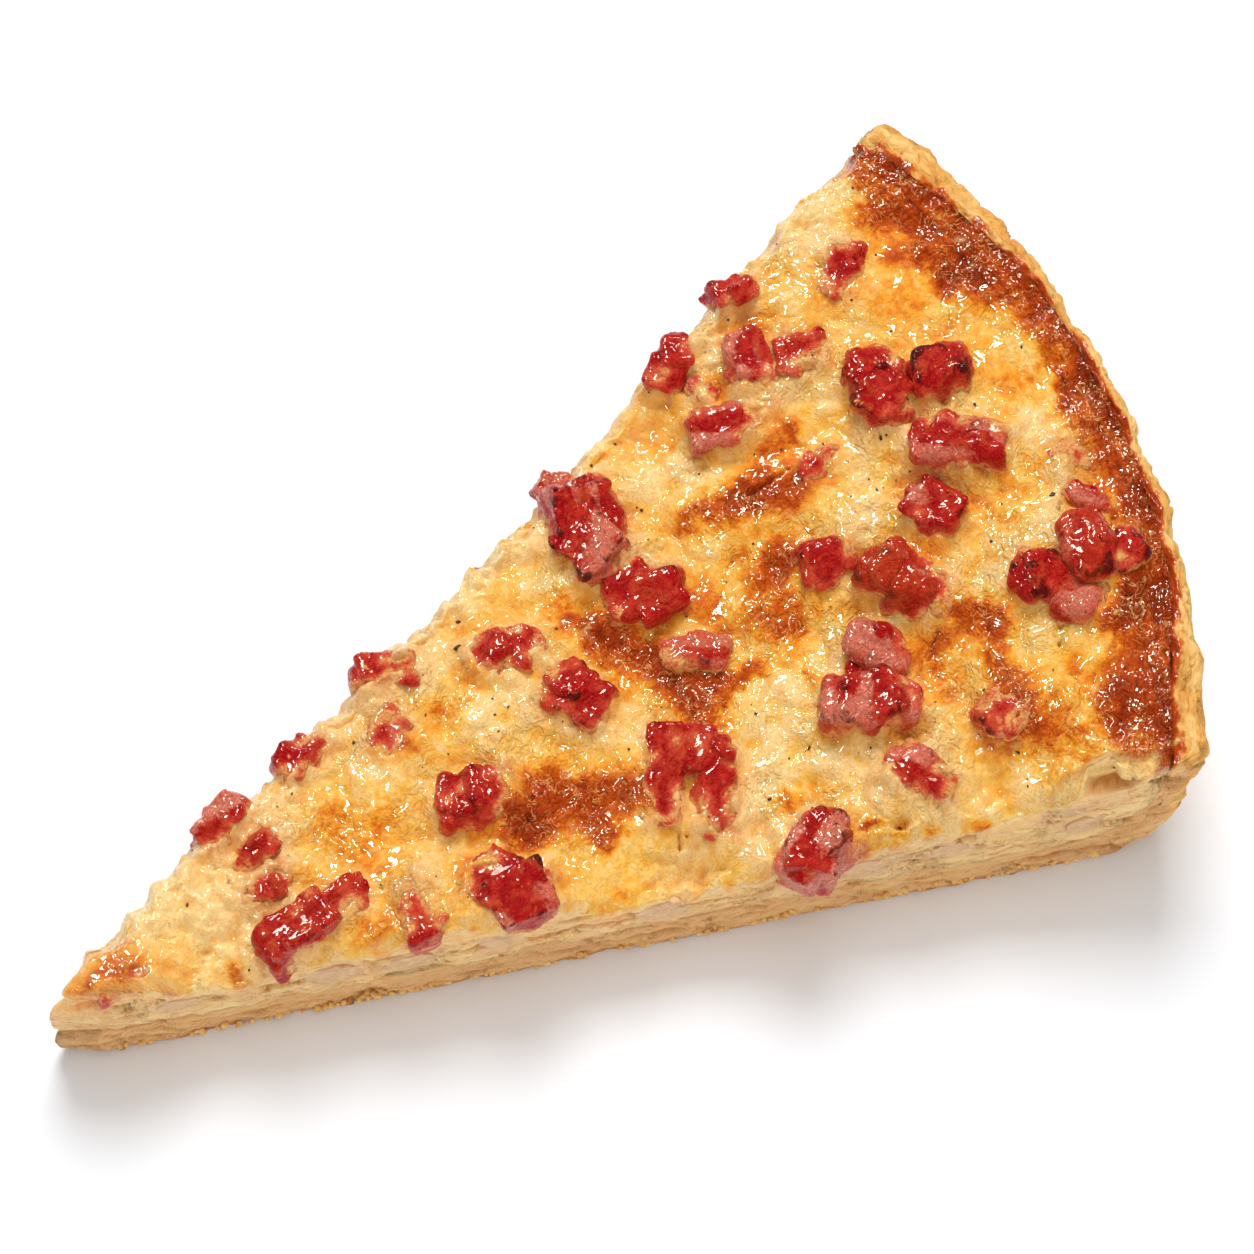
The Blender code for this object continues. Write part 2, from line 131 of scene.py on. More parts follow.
BROWN_PATCHES = (
    Patch(12.1, -1.3, 4.6, 1.7, -12, 0.52),
    Patch(13.2, 1.9, 2.6, 1.8, 0, 0.50),
    Patch(8.0, 2.4, 3.0, 0.9, 30, 0.55),
    Patch(7.5, -1.8, 2.0, 1.4, -15, 0.40),
    Patch(22.9, -6.4, 1.8, 1.0, -30, 0.60),
    Patch(42.3, 0.0, 5.0, 3.4, 0, 0.42),
    Patch(37.5, -10.0, 3.4, 1.8, -10, 0.50),
    Patch(49.9, 6.4, 2.4, 1.6, -40, 0.55),
    Patch(55.3, 8.1, 2.8, 1.8, 10, 0.55),
    Patch(62.8, -7.2, 6.2, 3.2, -20, 0.80),
    Patch(57.0, -7.0, 2.6, 2.2, 0, 0.80),
    Patch(55.6, -8.8, 2.0, 1.8, 0, 0.75),
    Patch(63.0, -12.4, 2.6, 1.8, -60, 0.72),
    Patch(61.5, -3.2, 2.6, 1.6, 0, 0.50),
    Patch(68.0, -9.8, 2.4, 1.8, 0, 0.60),
    Patch(74.4, 7.4, 3.4, 2.6, -40, 0.86),
    Patch(76.4, 3.6, 2.8, 2.6, -60, 0.82),
    Patch(77.9, -1.2, 3.6, 3.0, -80, 0.80),
    Patch(79.2, -5.2, 3.0, 2.4, -80, 0.78),
    Patch(82.0, -2.6, 2.4, 1.8, -20, 0.62),
    Patch(85.2, -4.4, 3.4, 1.1, -10, 0.62),
    Patch(71.5, 10.2, 2.6, 1.6, 0, 0.55),
    Patch(94.6, 11.6, 4.6, 2.4, -10, 0.84),
    Patch(88.0, 13.6, 3.0, 1.6, 0, 0.60),
    Patch(97.4, 14.4, 2.6, 2.4, 60, 0.62),
    Patch(99.6, 9.4, 3.0, 1.8, 0, 0.55),
    Patch(93.0, 3.8, 3.4, 3.0, 0, 0.80),
    Patch(91.8, -2.2, 3.0, 2.4, 0, 0.74),
    Patch(88.4, 0.4, 2.4, 1.6, 0, 0.45),
    Patch(102.0, 15.6, 2.2, 1.4, 30, 0.60),
    Patch(107.6, -12.2, 3.2, 1.6, -50, 0.74),
    Patch(108.8, -15.2, 2.0, 1.4, -70, 0.66),
    Patch(106.8, -18.2, 2.6, 1.4, -80, 0.64),
    Patch(105.2, -23.4, 4.6, 4.0, 0, 0.66),
    Patch(107.8, -27.6, 3.6, 2.0, -70, 0.45),
    Patch(102.3, -13.2, 3.0, 2.0, 0, 0.60),
    Patch(106.0, -2.6, 2.4, 1.4, -60, 0.42),
    Patch(126.4, 21.6, 3.0, 3.2, 0, 0.85),
    Patch(122.6, 31.0, 3.6, 2.0, -40, 0.72),
    Patch(121.6, 26.4, 2.6, 2.2, 0, 0.55),
    Patch(118.4, 21.6, 3.0, 2.0, 0, 0.42),
    Patch(111.6, 18.4, 2.4, 1.4, 0, 0.50),
    Patch(123.4, -20.8, 3.6, 2.6, -60, 0.86),
    Patch(119.4, -21.4, 2.6, 1.4, 0, 0.70),
    Patch(115.4, -28.4, 3.4, 2.6, -60, 0.80),
    Patch(81.2, -19.8, 1.6, 1.2, 0, 0.55),
    Patch(86.6, -25.8, 1.8, 0.6, -20, 0.75),
    Patch(90.0, -8.6, 1.8, 0.7, 50, 0.55),
    Patch(105.0, 33.4, 1.2, 1.0, 0, 0.70),
    Patch(83.6, 25.4, 1.8, 1.0, 0, 0.48),
)

# Smooth golden pools: along, across, radius in millimetres, and strength.
GOLD_POOLS = (
    (89.0, 26.0, 4.4, 0.8),
    (121.8, 28.6, 3.0, 1.0),
    (119.6, 22.4, 4.4, 0.9),
    (112.6, 25.8, 3.4, 0.6),
    (127.4, -8.2, 2.6, 1.0),
    (84.6, 7.2, 3.6, 0.5),
    (86.4, 3.2, 3.0, 0.7),
    (106.4, -3.6, 2.8, 0.9),
    (100.8, 8.4, 3.6, 0.6),
    (36.0, -1.6, 3.4, 0.5),
    (41.0, -3.4, 3.0, 0.8),
    (66.0, 15.2, 3.4, 0.5),
    (73.0, 1.4, 2.6, 0.9),
    (112.4, 18.0, 2.6, 0.6),
    (122.6, 13.2, 4.2, 0.6),
    (124.2, 8.2, 3.2, 0.8),
    (117.6, -26.0, 3.4, 0.8),
    (112.4, -21.8, 4.0, 0.4),
    (64.6, -15.6, 3.6, 0.4),
    (48.6, -8.6, 2.2, 0.7),
    (71.4, 11.8, 2.4, 0.9),
    (98.4, 14.0, 3.0, 0.7),
    (57.6, -14.6, 3.0, 0.5),
    (17.6, -2.4, 3.4, 0.6),
    (9.2, 1.2, 3.6, 0.7),
)

# Pits in the custard's top: along, across, radius and depth in millimetres.
PITS = (
    (96.3, -19.5, 1.7, 1.9),
    (89.9, -27.5, 0.8, 1.2),
    (68.2, -20.4, 3.0, 1.5),
    (66.4, -21.6, 1.0, 0.9),
    (77.0, -19.8, 1.6, 0.8),
    (74.4, -17.8, 0.9, 0.9),
    (48.0, 6.8, 0.9, 0.9),
    (21.2, -3.2, 1.3, 0.9),
    (22.0, 2.2, 1.0, 0.7),
    (100.5, 31.6, 0.9, 0.9),
    (121.4, 4.4, 1.6, 0.7),
    (36.8, -12.4, 1.3, 1.0),
    (39.2, -13.6, 0.9, 0.7),
    (93.2, 3.8, 1.6, 0.6),
    (92.0, -2.2, 1.2, 0.5),
    (114.6, -25.4, 1.8, 0.6),
    (89.0, 23.6, 3.2, 0.7),
    (81.6, -11.6, 1.0, 0.5),
)

# The ones that are torn, so that pale custard shows round them.
TORN_PITS = PITS[2:6]

# Where the browned skin has broken away over a pocket of air by the near cut.
POCKET = Patch(109.6, -35.2, 4.9, 1.7, -18, 1.8)

# Black peppercorn pieces that stand out: along, across and size in millimetres.
BIG_PEPPER = (
    (59.8, 13.1, 0.62),
    (61.7, 16.4, 0.42),
    (70.1, 10.2, 0.36),
    (59.5, 4.6, 0.26),
    (21.9, 2.4, 0.40),
    (86.1, -15.1, 0.46),
    (103.9, -27.3, 0.50),
    (89.9, -27.2, 0.42),
    (104.2, 12.6, 0.34),
    (109.3, 9.4, 0.42),
    (110.0, 4.6, 0.36),
    (119.6, 7.4, 0.42),
    (83.4, -8.8, 0.34),
    (79.6, -18.0, 0.36),
    (74.8, -17.6, 0.34),
    (84.8, 17.6, 0.40),
    (113.0, -6.8, 0.36),
    (36.6, -12.2, 0.44),
    (81.6, 23.4, 0.36),
    (82.6, 24.6, 0.40),
    (45.4, 9.6, 0.40),
    (106.2, 5.0, 0.30),
    (17.4, 6.4, 0.50),
    (121.0, -5.8, 0.40),
    (114.6, 24.4, 0.34),
    (94.6, 29.8, 0.30),
)

# Holes in the near cut: along that cut, height, half width, half height and depth in mm.
NEAR_HOLES = (
    (115.6, 20.4, 3.2, 1.25, 2.8),
    (121.0, 19.6, 1.2, 0.8, 1.9),
    (59.6, 12.1, 2.2, 0.3, 0.7),
    (40.0, 11.7, 2.2, 0.3, 0.7),
    (100.6, 13.6, 1.1, 0.4, 0.8),
    (95.4, 12.2, 1.2, 0.35, 0.8),
    (108.6, 11.8, 1.0, 0.4, 0.7),
    (24.0, 3.0, 3.6, 0.35, 0.9),
    (37.0, 2.2, 4.6, 0.45, 1.1),
    (52.6, 3.6, 2.4, 0.3, 0.8),
    (63.0, 2.8, 3.0, 0.3, 0.7),
    (78.0, 3.4, 2.6, 0.3, 0.7),
    (14.6, 4.9, 2.6, 0.3, 0.8),
    (97.0, 4.2, 2.4, 0.3, 0.7),
)
FAR_HOLES = (
    (28.0, 10.6, 2.0, 0.4, 0.8),
    (47.0, 3.0, 3.0, 0.35, 0.9),
    (62.0, 12.4, 1.6, 0.4, 0.9),
    (84.0, 3.6, 3.2, 0.35, 0.8),
    (101.0, 14.0, 2.2, 0.6, 1.4),
    (112.0, 8.4, 2.0, 0.4, 0.8),
)

# Tints of ham in the far cut: along it, height, half length and half height in mm.
FAR_HAM_TINTS = (
    (30.0, 10.2, 3.4, 1.8),
    (52.0, 9.8, 3.0, 2.0),
    (73.0, 10.6, 3.6, 1.8),
    (90.0, 10.2, 3.0, 1.9),
    (107.0, 12.4, 2.4, 1.5),
)

# Long gaps between the cuts' layers: height and thickness in millimetres, and seed.
LAYER_GAPS = ((6.0, 0.30, 46), (2.4, 0.35, 47), (9.4, 0.25, 48))

# The browned band by the rim: its width in mm at places from the near cut to the far cut.
BAND_PLACES = (-1.0, -0.8, -0.62, -0.45, -0.2, 0.0, 0.2, 0.4, 0.55, 0.7, 0.85, 1.0)
BAND_WIDTHS = (10.5, 11.0, 9.0, 7.0, 6.2, 6.4, 6.8, 8.0, 9.6, 8.2, 7.4, 6.0)

# How many points the skins have: upwards, at the point, and across where they are hidden.
LEAST_POINTS = 12
CUSTARD_LEVELS = 30
CUSTARD_UNDER_POINTS = 26
PASTRY_LEVELS = 22
PASTRY_TIP_POINTS = 16
PASTRY_HIDDEN_POINTS = 60

# The crust: how far its mesh runs up the wall and over the rim, how round its ends are,
# and where the knots of its inner side lie, from the base's corner to the lip.
WALL_RUN = 34.0 * MM
CORNER_ROUNDING = 2.0 * MM
INSIDE_SHARES = (0.0, 0.16, 0.32, 0.46, 0.60, 0.74, 0.87, 1.0)

LARDON_COUNT = 44
HAM_COUNT = 9
HAM_SPACING = 0.22 * MM
PEBBLE_DETAIL = 2
DROP_HEIGHT = 50.0 * MM

# The near cut and the far cut, as shares of the half angle.
SIDES = (-1.0, 1.0)


class Bacon(NamedTuple):
    """How a lardon looks: pink, charred and under browned custard, from 0 to 1.

    grow is how many millimetres it is plumper than its solid, and shift how far it
    lies from it, along and across.
    """

    pink: float
    char: float
    toast: float = 0.0
    grow: float = 0.10
    shift: tuple = (0.0, 0.0)


USUAL_BACON = Bacon(0.22, 0.38)
BACON_LOOKS = {
    1: Bacon(0.05, 0.20, 1.0, -0.35),
    2: Bacon(0.45, 0.20),
    4: Bacon(0.30, 0.10),
    5: Bacon(0.05, 0.35),
    7: Bacon(0.50, 0.30),
    8: Bacon(0.35, 0.75),
    9: Bacon(0.05, 0.42, 0.0, 0.30),
    10: Bacon(0.50, 0.30),
    12: Bacon(0.30, 0.25, 0.0, 0.35),
    13: Bacon(0.10, 0.85),
    14: Bacon(0.60, 0.95),
    15: Bacon(0.80, 0.10, 0.25, -0.20, (1.6, -0.6)),
    16: Bacon(0.15, 0.40, 0.0, 0.35),
    17: Bacon(0.55, 0.45, 0.25, 0.35),
    20: Bacon(0.70, 0.70),
    21: Bacon(0.55, 0.45),
    22: Bacon(0.50, 0.40, 0.0, 0.50),
    23: Bacon(0.55, 0.30, 0.0, 0.70),
    24: Bacon(0.00, 0.60, 0.0, 0.35),
    25: Bacon(0.25, 0.60, 0.35, 0.50),
    26: Bacon(0.10, 0.80, 0.0, 0.45),
    28: Bacon(0.70, 0.30),
    30: Bacon(0.55, 0.25),
    32: Bacon(0.50, 0.15),
    34: Bacon(0.25, 0.30, 0.0, 0.35),
    35: Bacon(0.20, 0.60, 0.0, 0.50),
    36: Bacon(0.10, 0.60, 0.0, 0.45),
    37: Bacon(0.30, 0.50, 0.0, 0.20),
    40: Bacon(0.15, 0.85, 0.0, 0.55),
    41: Bacon(0.45, 0.80, 0.2, 0.70),
    42: Bacon(0.00, 1.00, 0.0, 0.35),
    43: Bacon(0.60, 0.50, 0.1, 0.70),
    44: Bacon(0.30, 0.50),
}

# Blocks that join a lardon to its neighbour: middle, sides and turn, in mm and degrees.
BRIDGES = {
    "lardon_05": ((34.4, -5.8, 15.3), (7.0, 3.4, 2.8), 11.0),
    "lardon_18": ((74.6, -8.4, 15.6), (6.6, 4.6, 3.4), -28.0),
    "lardon_22": ((95.4, -11.8, 17.0), (6.2, 4.4, 3.2), 62.0),
    "lardon_35": ((113.6, 14.0, 19.4), (4.2, 3.2, 3.0), 10.0),
    "lardon_41": ((119.2, -14.6, 22.6), (5.2, 4.2, 3.0), 60.0),
}


def tint(red, green, blue):
    """A colour as it looks on a screen, 0 to 255, turned into Blender's linear values."""
    shares = (red / 255.0, green / 255.0, blue / 255.0)
    linear = [s / 12.92 if s <= 0.04045 else ((s + 0.055) / 1.055) ** 2.4 for s in shares]
    return (*linear, 1.0)


def colour_setting(name, description, red, green, blue):
    return FloatVectorProperty(
        name=name,
        description=description,
        subtype="COLOR",
        size=4,
        min=0.0,
        max=1.0,
        default=tint(red, green, blue),
    )


def length_setting(name, description, size, most=10.0 * MM):
    return FloatProperty(
        name=name,
        description=description,
        default=size,
        min=0.0,
        max=most,
        precision=5,
        subtype="DISTANCE",
        unit="LENGTH",
    )


class QuicheSizes(bpy.types.PropertyGroup):
    """The sizes of the fine detail on the slice."""

    custard_spacing: length_setting(
        "Custard mesh", "Distance between the custard's mesh points", 0.31 * MM
    )
    pastry_spacing: length_setting(
        "Pastry mesh", "Distance between the pastry's mesh points", 0.32 * MM
    )
    lardon_spacing: length_setting(
        "Bacon mesh", "Distance between a lardon's mesh points", 0.24 * MM
    )
    lump_height: length_setting("Lumps", "Height of the custard's soft lumps", 1.6 * MM)
    wrinkle_height: length_setting(
        "Wrinkles", "Height of the browned skin's wrinkles", 0.24 * MM
    )
    curd_height: length_setting("Curds", "Height of the crumbly curds", 1.15 * MM)
    creep_share: FloatProperty(
        name="Creep",
        description="Share of a lardon's side that the custard climbs",
        default=0.55,
        min=0.0,
        max=1.0,
        subtype="FACTOR",
    )
    cut_roughness: length_setting("Cut roughness", "Depth of the cuts' layers", 0.20 * MM)
    pepper_count: IntProperty(
        name="Pepper", description="Number of small pepper flecks", default=190, min=0
    )
    crumb_count: IntProperty(
        name="Crumbs", description="Number of crumbs along the base", default=330, min=0
    )


class QuicheColours(bpy.types.PropertyGroup):
    """The colours of the slice, from pale to burnt."""

    cream: colour_setting("Cream", "Palest custard", 255, 217, 150)
    yellow: colour_setting("Yellow", "Plain baked custard", 255, 199, 90)
    golden: colour_setting("Golden", "Lightly browned custard", 248, 162, 38)
    orange: colour_setting("Orange", "Browned custard", 222, 102, 14)
    brown: colour_setting("Brown", "Well browned custard", 180, 62, 8)
    burnt: colour_setting("Burnt", "The darkest skin by the rim", 118, 32, 6)
    cut_pale: colour_setting("Cut, pale", "Custard at the cut", 255, 221, 157)
    cut_shade: colour_setting("Cut, shaded", "Layers in the cut", 240, 188, 131)
    pastry_pale: colour_setting("Pastry, pale", "Pale shortcrust", 249, 212, 140)
    pastry_gold: colour_setting("Pastry, gold", "Golden shortcrust", 238, 178, 92)
    pastry_brown: colour_setting("Pastry, brown", "Browned shortcrust", 186, 104, 34)
    bacon_red: colour_setting("Bacon, red", "Lean of the bacon", 178, 16, 18)
    bacon_pink: colour_setting("Bacon, pink", "Pink of the bacon", 222, 120, 96)
    bacon_char: colour_setting("Bacon, char", "Charred edges", 66, 14, 10)
    ham_pale: colour_setting("Ham, pale", "Pale ham", 238, 196, 150)
    ham_pink: colour_setting("Ham, pink", "Pinker ham", 222, 170, 126)
    pepper: colour_setting("Pepper", "Pepper flecks", 46, 30, 14)


class StageSettings(bpy.types.PropertyGroup):
    """The floor, the lights and the camera."""

    floor_colour: colour_setting("Floor", "Plain pale floor", 246, 249, 254)
    floor_size: length_setting("Floor size", "Side of the floor", 4.0, 10.0)
    key_power: FloatProperty(
        name="Key light",
        description="Power of the large soft light",
        default=8.85,
        min=0.0,
        subtype="POWER",
        unit="POWER",
    )
    camera_elevation: FloatProperty(
        name="Camera elevation",
        description="Angle of the camera above the table",
        default=radians(67.0),
        subtype="ANGLE",
        unit="ROTATION",
    )
    camera_distance: length_setting(
        "Camera distance", "From the camera to its aim", 0.51375, 5.0
    )


# --- Soft random fields -------------------------------------------------------

SCATTER = np.random.default_rng(20)
SLOPES = SCATTER.normal(size=(256, 3))
SLOPES /= np.linalg.norm(SLOPES, axis=1)[:, None]
HASH_STEPS = np.array((73856093, 19349663, 83492791))
HASH_MASK = 0xFFFFFFFF


def scramble(cell, seed):
    """A whole number that looks random but is always the same for this cell."""
    mixed = (cell * HASH_STEPS).sum(axis=-1) + seed * 2654435761
    mixed = (mixed & HASH_MASK) ^ ((mixed & HASH_MASK) >> 13)
    mixed = (mixed * 1274126177) & HASH_MASK
    return mixed ^ (mixed >> 16)


def lumps(points, size, seed=0):
    """Smooth noise from about -1 to 1. size is the lumps' in mm, or one for each axis."""
    spot = points / (np.asarray(size) * MM) + 17.31 * (seed + 1)
    cell = np.floor(spot).astype(np.int64)
    part = spot - cell
    fade = part ** 3 * (part * (part * 6.0 - 15.0) + 10.0)
    total = np.zeros(len(points))
    for corner in np.ndindex(2, 2, 2):
        offset = part - corner
        slope = SLOPES[scramble(cell + corner, seed) & 255]
        weight = np.prod(np.where(corner, fade, 1.0 - fade), axis=1)
        total += weight * (offset * slope).sum(axis=1)
    return 1.7 * total


def ridges(points, size, seed=0):
    """Sharp crests on soft valleys, 0 to 1."""
    return 1.0 - np.minimum(1.0, np.abs(lumps(points, size, seed)) * 2.2)


def granules(points, size, seed=0):
    """How high a scatter of rounded grains stands, 0 to 1."""
    spot = points / (np.asarray(size) * MM)
    cell = np.floor(spot).astype(np.int64)
    nearest = np.full(len(points), 9.0)
    for corner in np.ndindex(3, 3, 3):
        home = cell + np.array(corner) - 1
        code = scramble(home, seed)
        jitter = np.stack((code & 255, (code >> 8) & 255, (code >> 16) & 255), axis=-1) / 255.0
        nearest = np.minimum(nearest, ((home + jitter - spot) ** 2).sum(axis=1))
    return np.clip(1.0 - nearest / 0.8, 0.0, 1.0)


def pillows(points, size, seed):
    """Soft bulges with creases between them, -0.5 to 0.5."""
    size = np.asarray(size)
    sway = np.stack([lumps(points, 0.7 * size, seed + part) for part in (1, 2, 3)], axis=-1)
    return granules(points + 0.28 * size * MM * sway, size, seed) - 0.5


def step(share):
    """0 to 1 with a soft start and end."""
    share = np.clip(share, 0.0, 1.0)
    return share * share * (3.0 - 2.0 * share)


def faded(distance, reach):
    """1 up to distance 0, then dying away: reach is in millimetres."""
    return np.exp(-np.maximum(distance, 0.0) / (reach * MM))


def flat_points(along, across, height=0.0):
    return np.stack(np.broadcast_arrays(along, across, height), axis=-1)


def circled(along, across, where, side, radius):
    """Distance from a place in the plan, in radii: the place and radius are in mm."""
    return np.hypot(along / MM - where, across / MM - side) / radius


def turned(along, across, patch):
    """Places seen from a patch: along its length and its width, in half sizes."""
    turn = radians(patch.turn)
    ahead = along / MM - patch.along
    aside = across / MM - patch.across
    lengthwise = (ahead * np.cos(turn) + aside * np.sin(turn)) / patch.length
    return lengthwise, (aside * np.cos(turn) - ahead * np.sin(turn)) / patch.width


# --- The wedge's shape --------------------------------------------------------


def rim_reach(angle):
    middle = RIM_CENTRE[0] * np.cos(angle) + RIM_CENTRE[1] * np.sin(angle)
    return middle + np.sqrt(middle ** 2 - (RIM_CENTRE ** 2).sum() + RIM_RADIUS ** 2)


def rim_phase(share):
    return np.pi * RIM_RIPPLES * share


def rim_width(share):
    far = np.maximum(0.0, (share - 0.3) / 0.7) ** 1.3
    near = step((-share - 0.45) / 0.35)
    return RIM_WIDTH + FAR_RIM_EXTRA * far + NEAR_RIM_EXTRA * near


def rim_height(share):
    return RIM_HEIGHT + RIM_UNEVENNESS * np.sin(0.6 * rim_phase(share) + 0.5)


def lip_distance(share):
    phase = rim_phase(share)
    ripple = 1.0 + 0.6 * np.sin(phase) + 0.4 * np.sin(1.7 * phase + 1.0)
    return rim_reach(HALF_ANGLE * share) - RIM_RIPPLE * ripple


def tip_distance(share):
    return TIP_DISTANCE + TIP_ROUNDING * share ** 2


def custard_edge(share):
    """How far from the apex the custard meets the rim."""
    return rim_reach(HALF_ANGLE * share) - rim_width(share) - RIM_RIPPLE


def base_corner(share):
    inset = np.maximum(BASE_CORNER, rim_width(share) + CORNER_RUN)
    return rim_reach(HALF_ANGLE * share) - inset


def inside_wall(share):
    """The wall's inside from the base up: its distances from the apex and its heights."""
    places = [(base_corner(share), 0.0 * share)]
    for number, (inset, rise) in enumerate(WALL_INSIDE):
        draft = WALL_DRAFT * (len(WALL_INSIDE) - number)
        inset = np.maximum(inset * MM, rim_width(share) + draft)
        places.append((rim_reach(HALF_ANGLE * share) - inset, RIM_HEIGHT * rise + 0.0 * share))
    return places


def rim_arc(along, across):
    """How far round the rim a place is, as a length."""
    return np.arctan2(across - RIM_CENTRE[1], along - RIM_CENTRE[0]) * RIM_RADIUS


def inward(side):
    """The direction into the slice from a cut: side is -1 for the near one, 1 for the far."""
    return np.array((sin(HALF_ANGLE), -side * np.cos(HALF_ANGLE), 0.0))


def custard_height(along, across):
    """The custard's top as the solid has it."""
    distance = np.hypot(along, across)
    climb = step((distance - CLIMB_START) / (CLIMB_END - CLIMB_START))
    height = CUSTARD_MIDDLE_HEIGHT + (CUSTARD_RIM_HEIGHT - CUSTARD_MIDDLE_HEIGHT) * climb
    for where, side, radius, rise in SWELLS:
        away = np.hypot(along - where * MM, across - side * MM)
        height = height + rise * MM * step(1.0 - away / (1.6 * radius * MM))
    spots = zip(along / TOP_BUMP_SIZE, across / TOP_BUMP_SIZE)
    bumps = np.array([noise.noise(Vector((x, y, 0.0))) for x, y in spots])
    return height + TOP_BUMPS * bumps * (1.0 - 0.6 * climb)


def interface(along, side):
    """The wavy line where the custard rests on the base, as a height."""
    spots = flat_points(along, side * 0.05)
    wave = 0.35 * MM * lumps(spots, 7.0, 3)
    return BASE_THICKNESS + wave + 0.15 * MM * lumps(spots, 2.0, 4)


def patch_strength(along, across):
    """How browned the top is by its patches, 0 to 1."""
    spots = flat_points(along, across)
    shift = 1.1 * MM
    along = along + shift * lumps(spots, 3.2, 11) + 0.5 * shift * lumps(spots, 1.3, 13)
    across = across + shift * lumps(spots, 3.2, 12) + 0.5 * shift * lumps(spots, 1.3, 14)
    plain = np.ones_like(along)
    for patch in BROWN_PATCHES:
        lengthwise, sideways = turned(along, across, patch)
        away = (lengthwise ** 2 + sideways ** 2) ** 1.05
        plain *= 1.0 - patch.strength * np.exp(-away * 0.72)
    return 1.0 - plain


def pool_strength(along, across):
    plain = np.ones_like(along)
    for where, side, radius, strength in GOLD_POOLS:
        plain *= 1.0 - strength * np.exp(-(circled(along, across, where, side, radius) ** 3))
    return 1.0 - plain


def band_strength(share, gap, spots):
    """How browned the top is by the rim: gap is the distance from the rim."""
    width = np.interp(share, BAND_PLACES, BAND_WIDTHS) * MM
    width = width * (1.0 + 0.34 * lumps(spots, 4.0, 21) + 0.16 * lumps(spots, 1.4, 22))
    inner = step((width - gap) / (0.55 * width))
    mottle = 0.5 + 0.5 * lumps(spots, 3.0, 23)
    return inner * (0.59 + 0.32 * faded(gap, 2.3) + 0.34 * (mottle - 0.5))


# --- Skins --------------------------------------------------------------------


class Skin:
    """A closed skin in the making: its points' places in the wedge, and its faces.

    A point is (station, share, level): station counts from the point of the slice
    to its rim, share runs -1 to 1 from cut to cut, and level 0 to 1 upwards.
    """

    def __init__(self):
        self.places = []
        self.faces = []
        self.count = 0

    def row(self, station, shares, levels):
        """Adds points at one station, and returns their numbers."""
        places = np.stack(np.broadcast_arrays(float(station), shares, levels), axis=-1)
        first = self.count
        self.places.append(places)
        self.count += len(places)
        return np.arange(first, self.count)

    def stitch(self, first, second):
        """Joins two rows with triangles, whatever number of points each has."""
        first_steps = (np.arange(len(first) - 1) + 0.5) / max(1, len(first) - 1)
        second_steps = (np.arange(len(second) - 1) + 0.5) / max(1, len(second) - 1)
        across = second[np.searchsorted(second_steps, first_steps, side="left")]
        back = first[np.searchsorted(first_steps, second_steps, side="right")]
        self.faces.append(np.stack((first[:-1], first[1:], across), axis=-1))
        self.faces.append(np.stack((second[1:], second[:-1], back), axis=-1))

    def finish(self):
        return np.concatenate(self.places), np.concatenate(self.faces)


def wedge_skin(under_counts, upper_counts, levels):
    """The six sides of a wedge: under, upper, both cuts, the point and the rim."""
    skin = Skin()
    last = len(under_counts) - 1
    up = np.linspace(0.0, 1.0, levels + 1)
    unders, uppers, nears, fars = [], [], [], []
    for station in range(last + 1):
        under = skin.row(station, np.linspace(-1.0, 1.0, under_counts[station]), 0.0)
        upper = skin.row(station, np.linspace(-1.0, 1.0, upper_counts[station]), 1.0)
        near = skin.row(station, -1.0, up[1:-1])
        far = skin.row(station, 1.0, up[1:-1])
        unders.append(under)
        uppers.append(upper)
        nears.append(np.concatenate(([under[0]], near, [upper[0]])))
        fars.append(np.concatenate(([under[-1]], far, [upper[-1]])))
    for rows in (unders, uppers, nears, fars):
        for first, second in zip(rows, rows[1:]):
            skin.stitch(first, second)
    for station in (0, last):
        shares = np.linspace(-1.0, 1.0, under_counts[station])[1:-1]
        rows = [unders[station]]
        for level in range(1, levels):
            middle = skin.row(station, shares, up[level])
            ends = ([nears[station][level]], middle, [fars[station][level]])
            rows.append(np.concatenate(ends))
        rows.append(uppers[station])
        for first, second in zip(rows, rows[1:]):
            skin.stitch(first, second)
    return skin.finish()


def closed_mesh(name, points, faces):
    """A smooth closed mesh whose faces all look outwards."""
    mesh = bpy.data.meshes.new(name)
    mesh.from_pydata(points.tolist(), [], faces.tolist())
    shape = bmesh.new()
    shape.from_mesh(mesh)
    bmesh.ops.recalc_face_normals(shape, faces=shape.faces[:])
    if shape.calc_volume(signed=True) < 0.0:
        bmesh.ops.reverse_faces(shape, faces=shape.faces[:])
    shape.to_mesh(mesh)
    shape.free()
    mesh.shade_smooth()
    return mesh


def point_values(items, name):
    """A vector for each item, such as the place or the normal of each mesh point."""
    values = np.empty(len(items) * 3)
    items.foreach_get(name, values)
    return values.reshape(-1, 3)


def mesh_points(mesh):
    return point_values(mesh.vertices, "co")


def mesh_normals(mesh):
    return point_values(mesh.vertex_normals, "vector")


def set_points(mesh, points):
    mesh.vertices.foreach_set("co", np.ascontiguousarray(points, np.float32).ravel())
    mesh.update()


def set_masks(mesh, **masks):
    """Stores each mask, one value a point, for the material to read."""
    for name, values in masks.items():
        mask = mesh.attributes.new(name, "FLOAT", "POINT")
        mask.data.foreach_set("value", np.ascontiguousarray(values, np.float32))


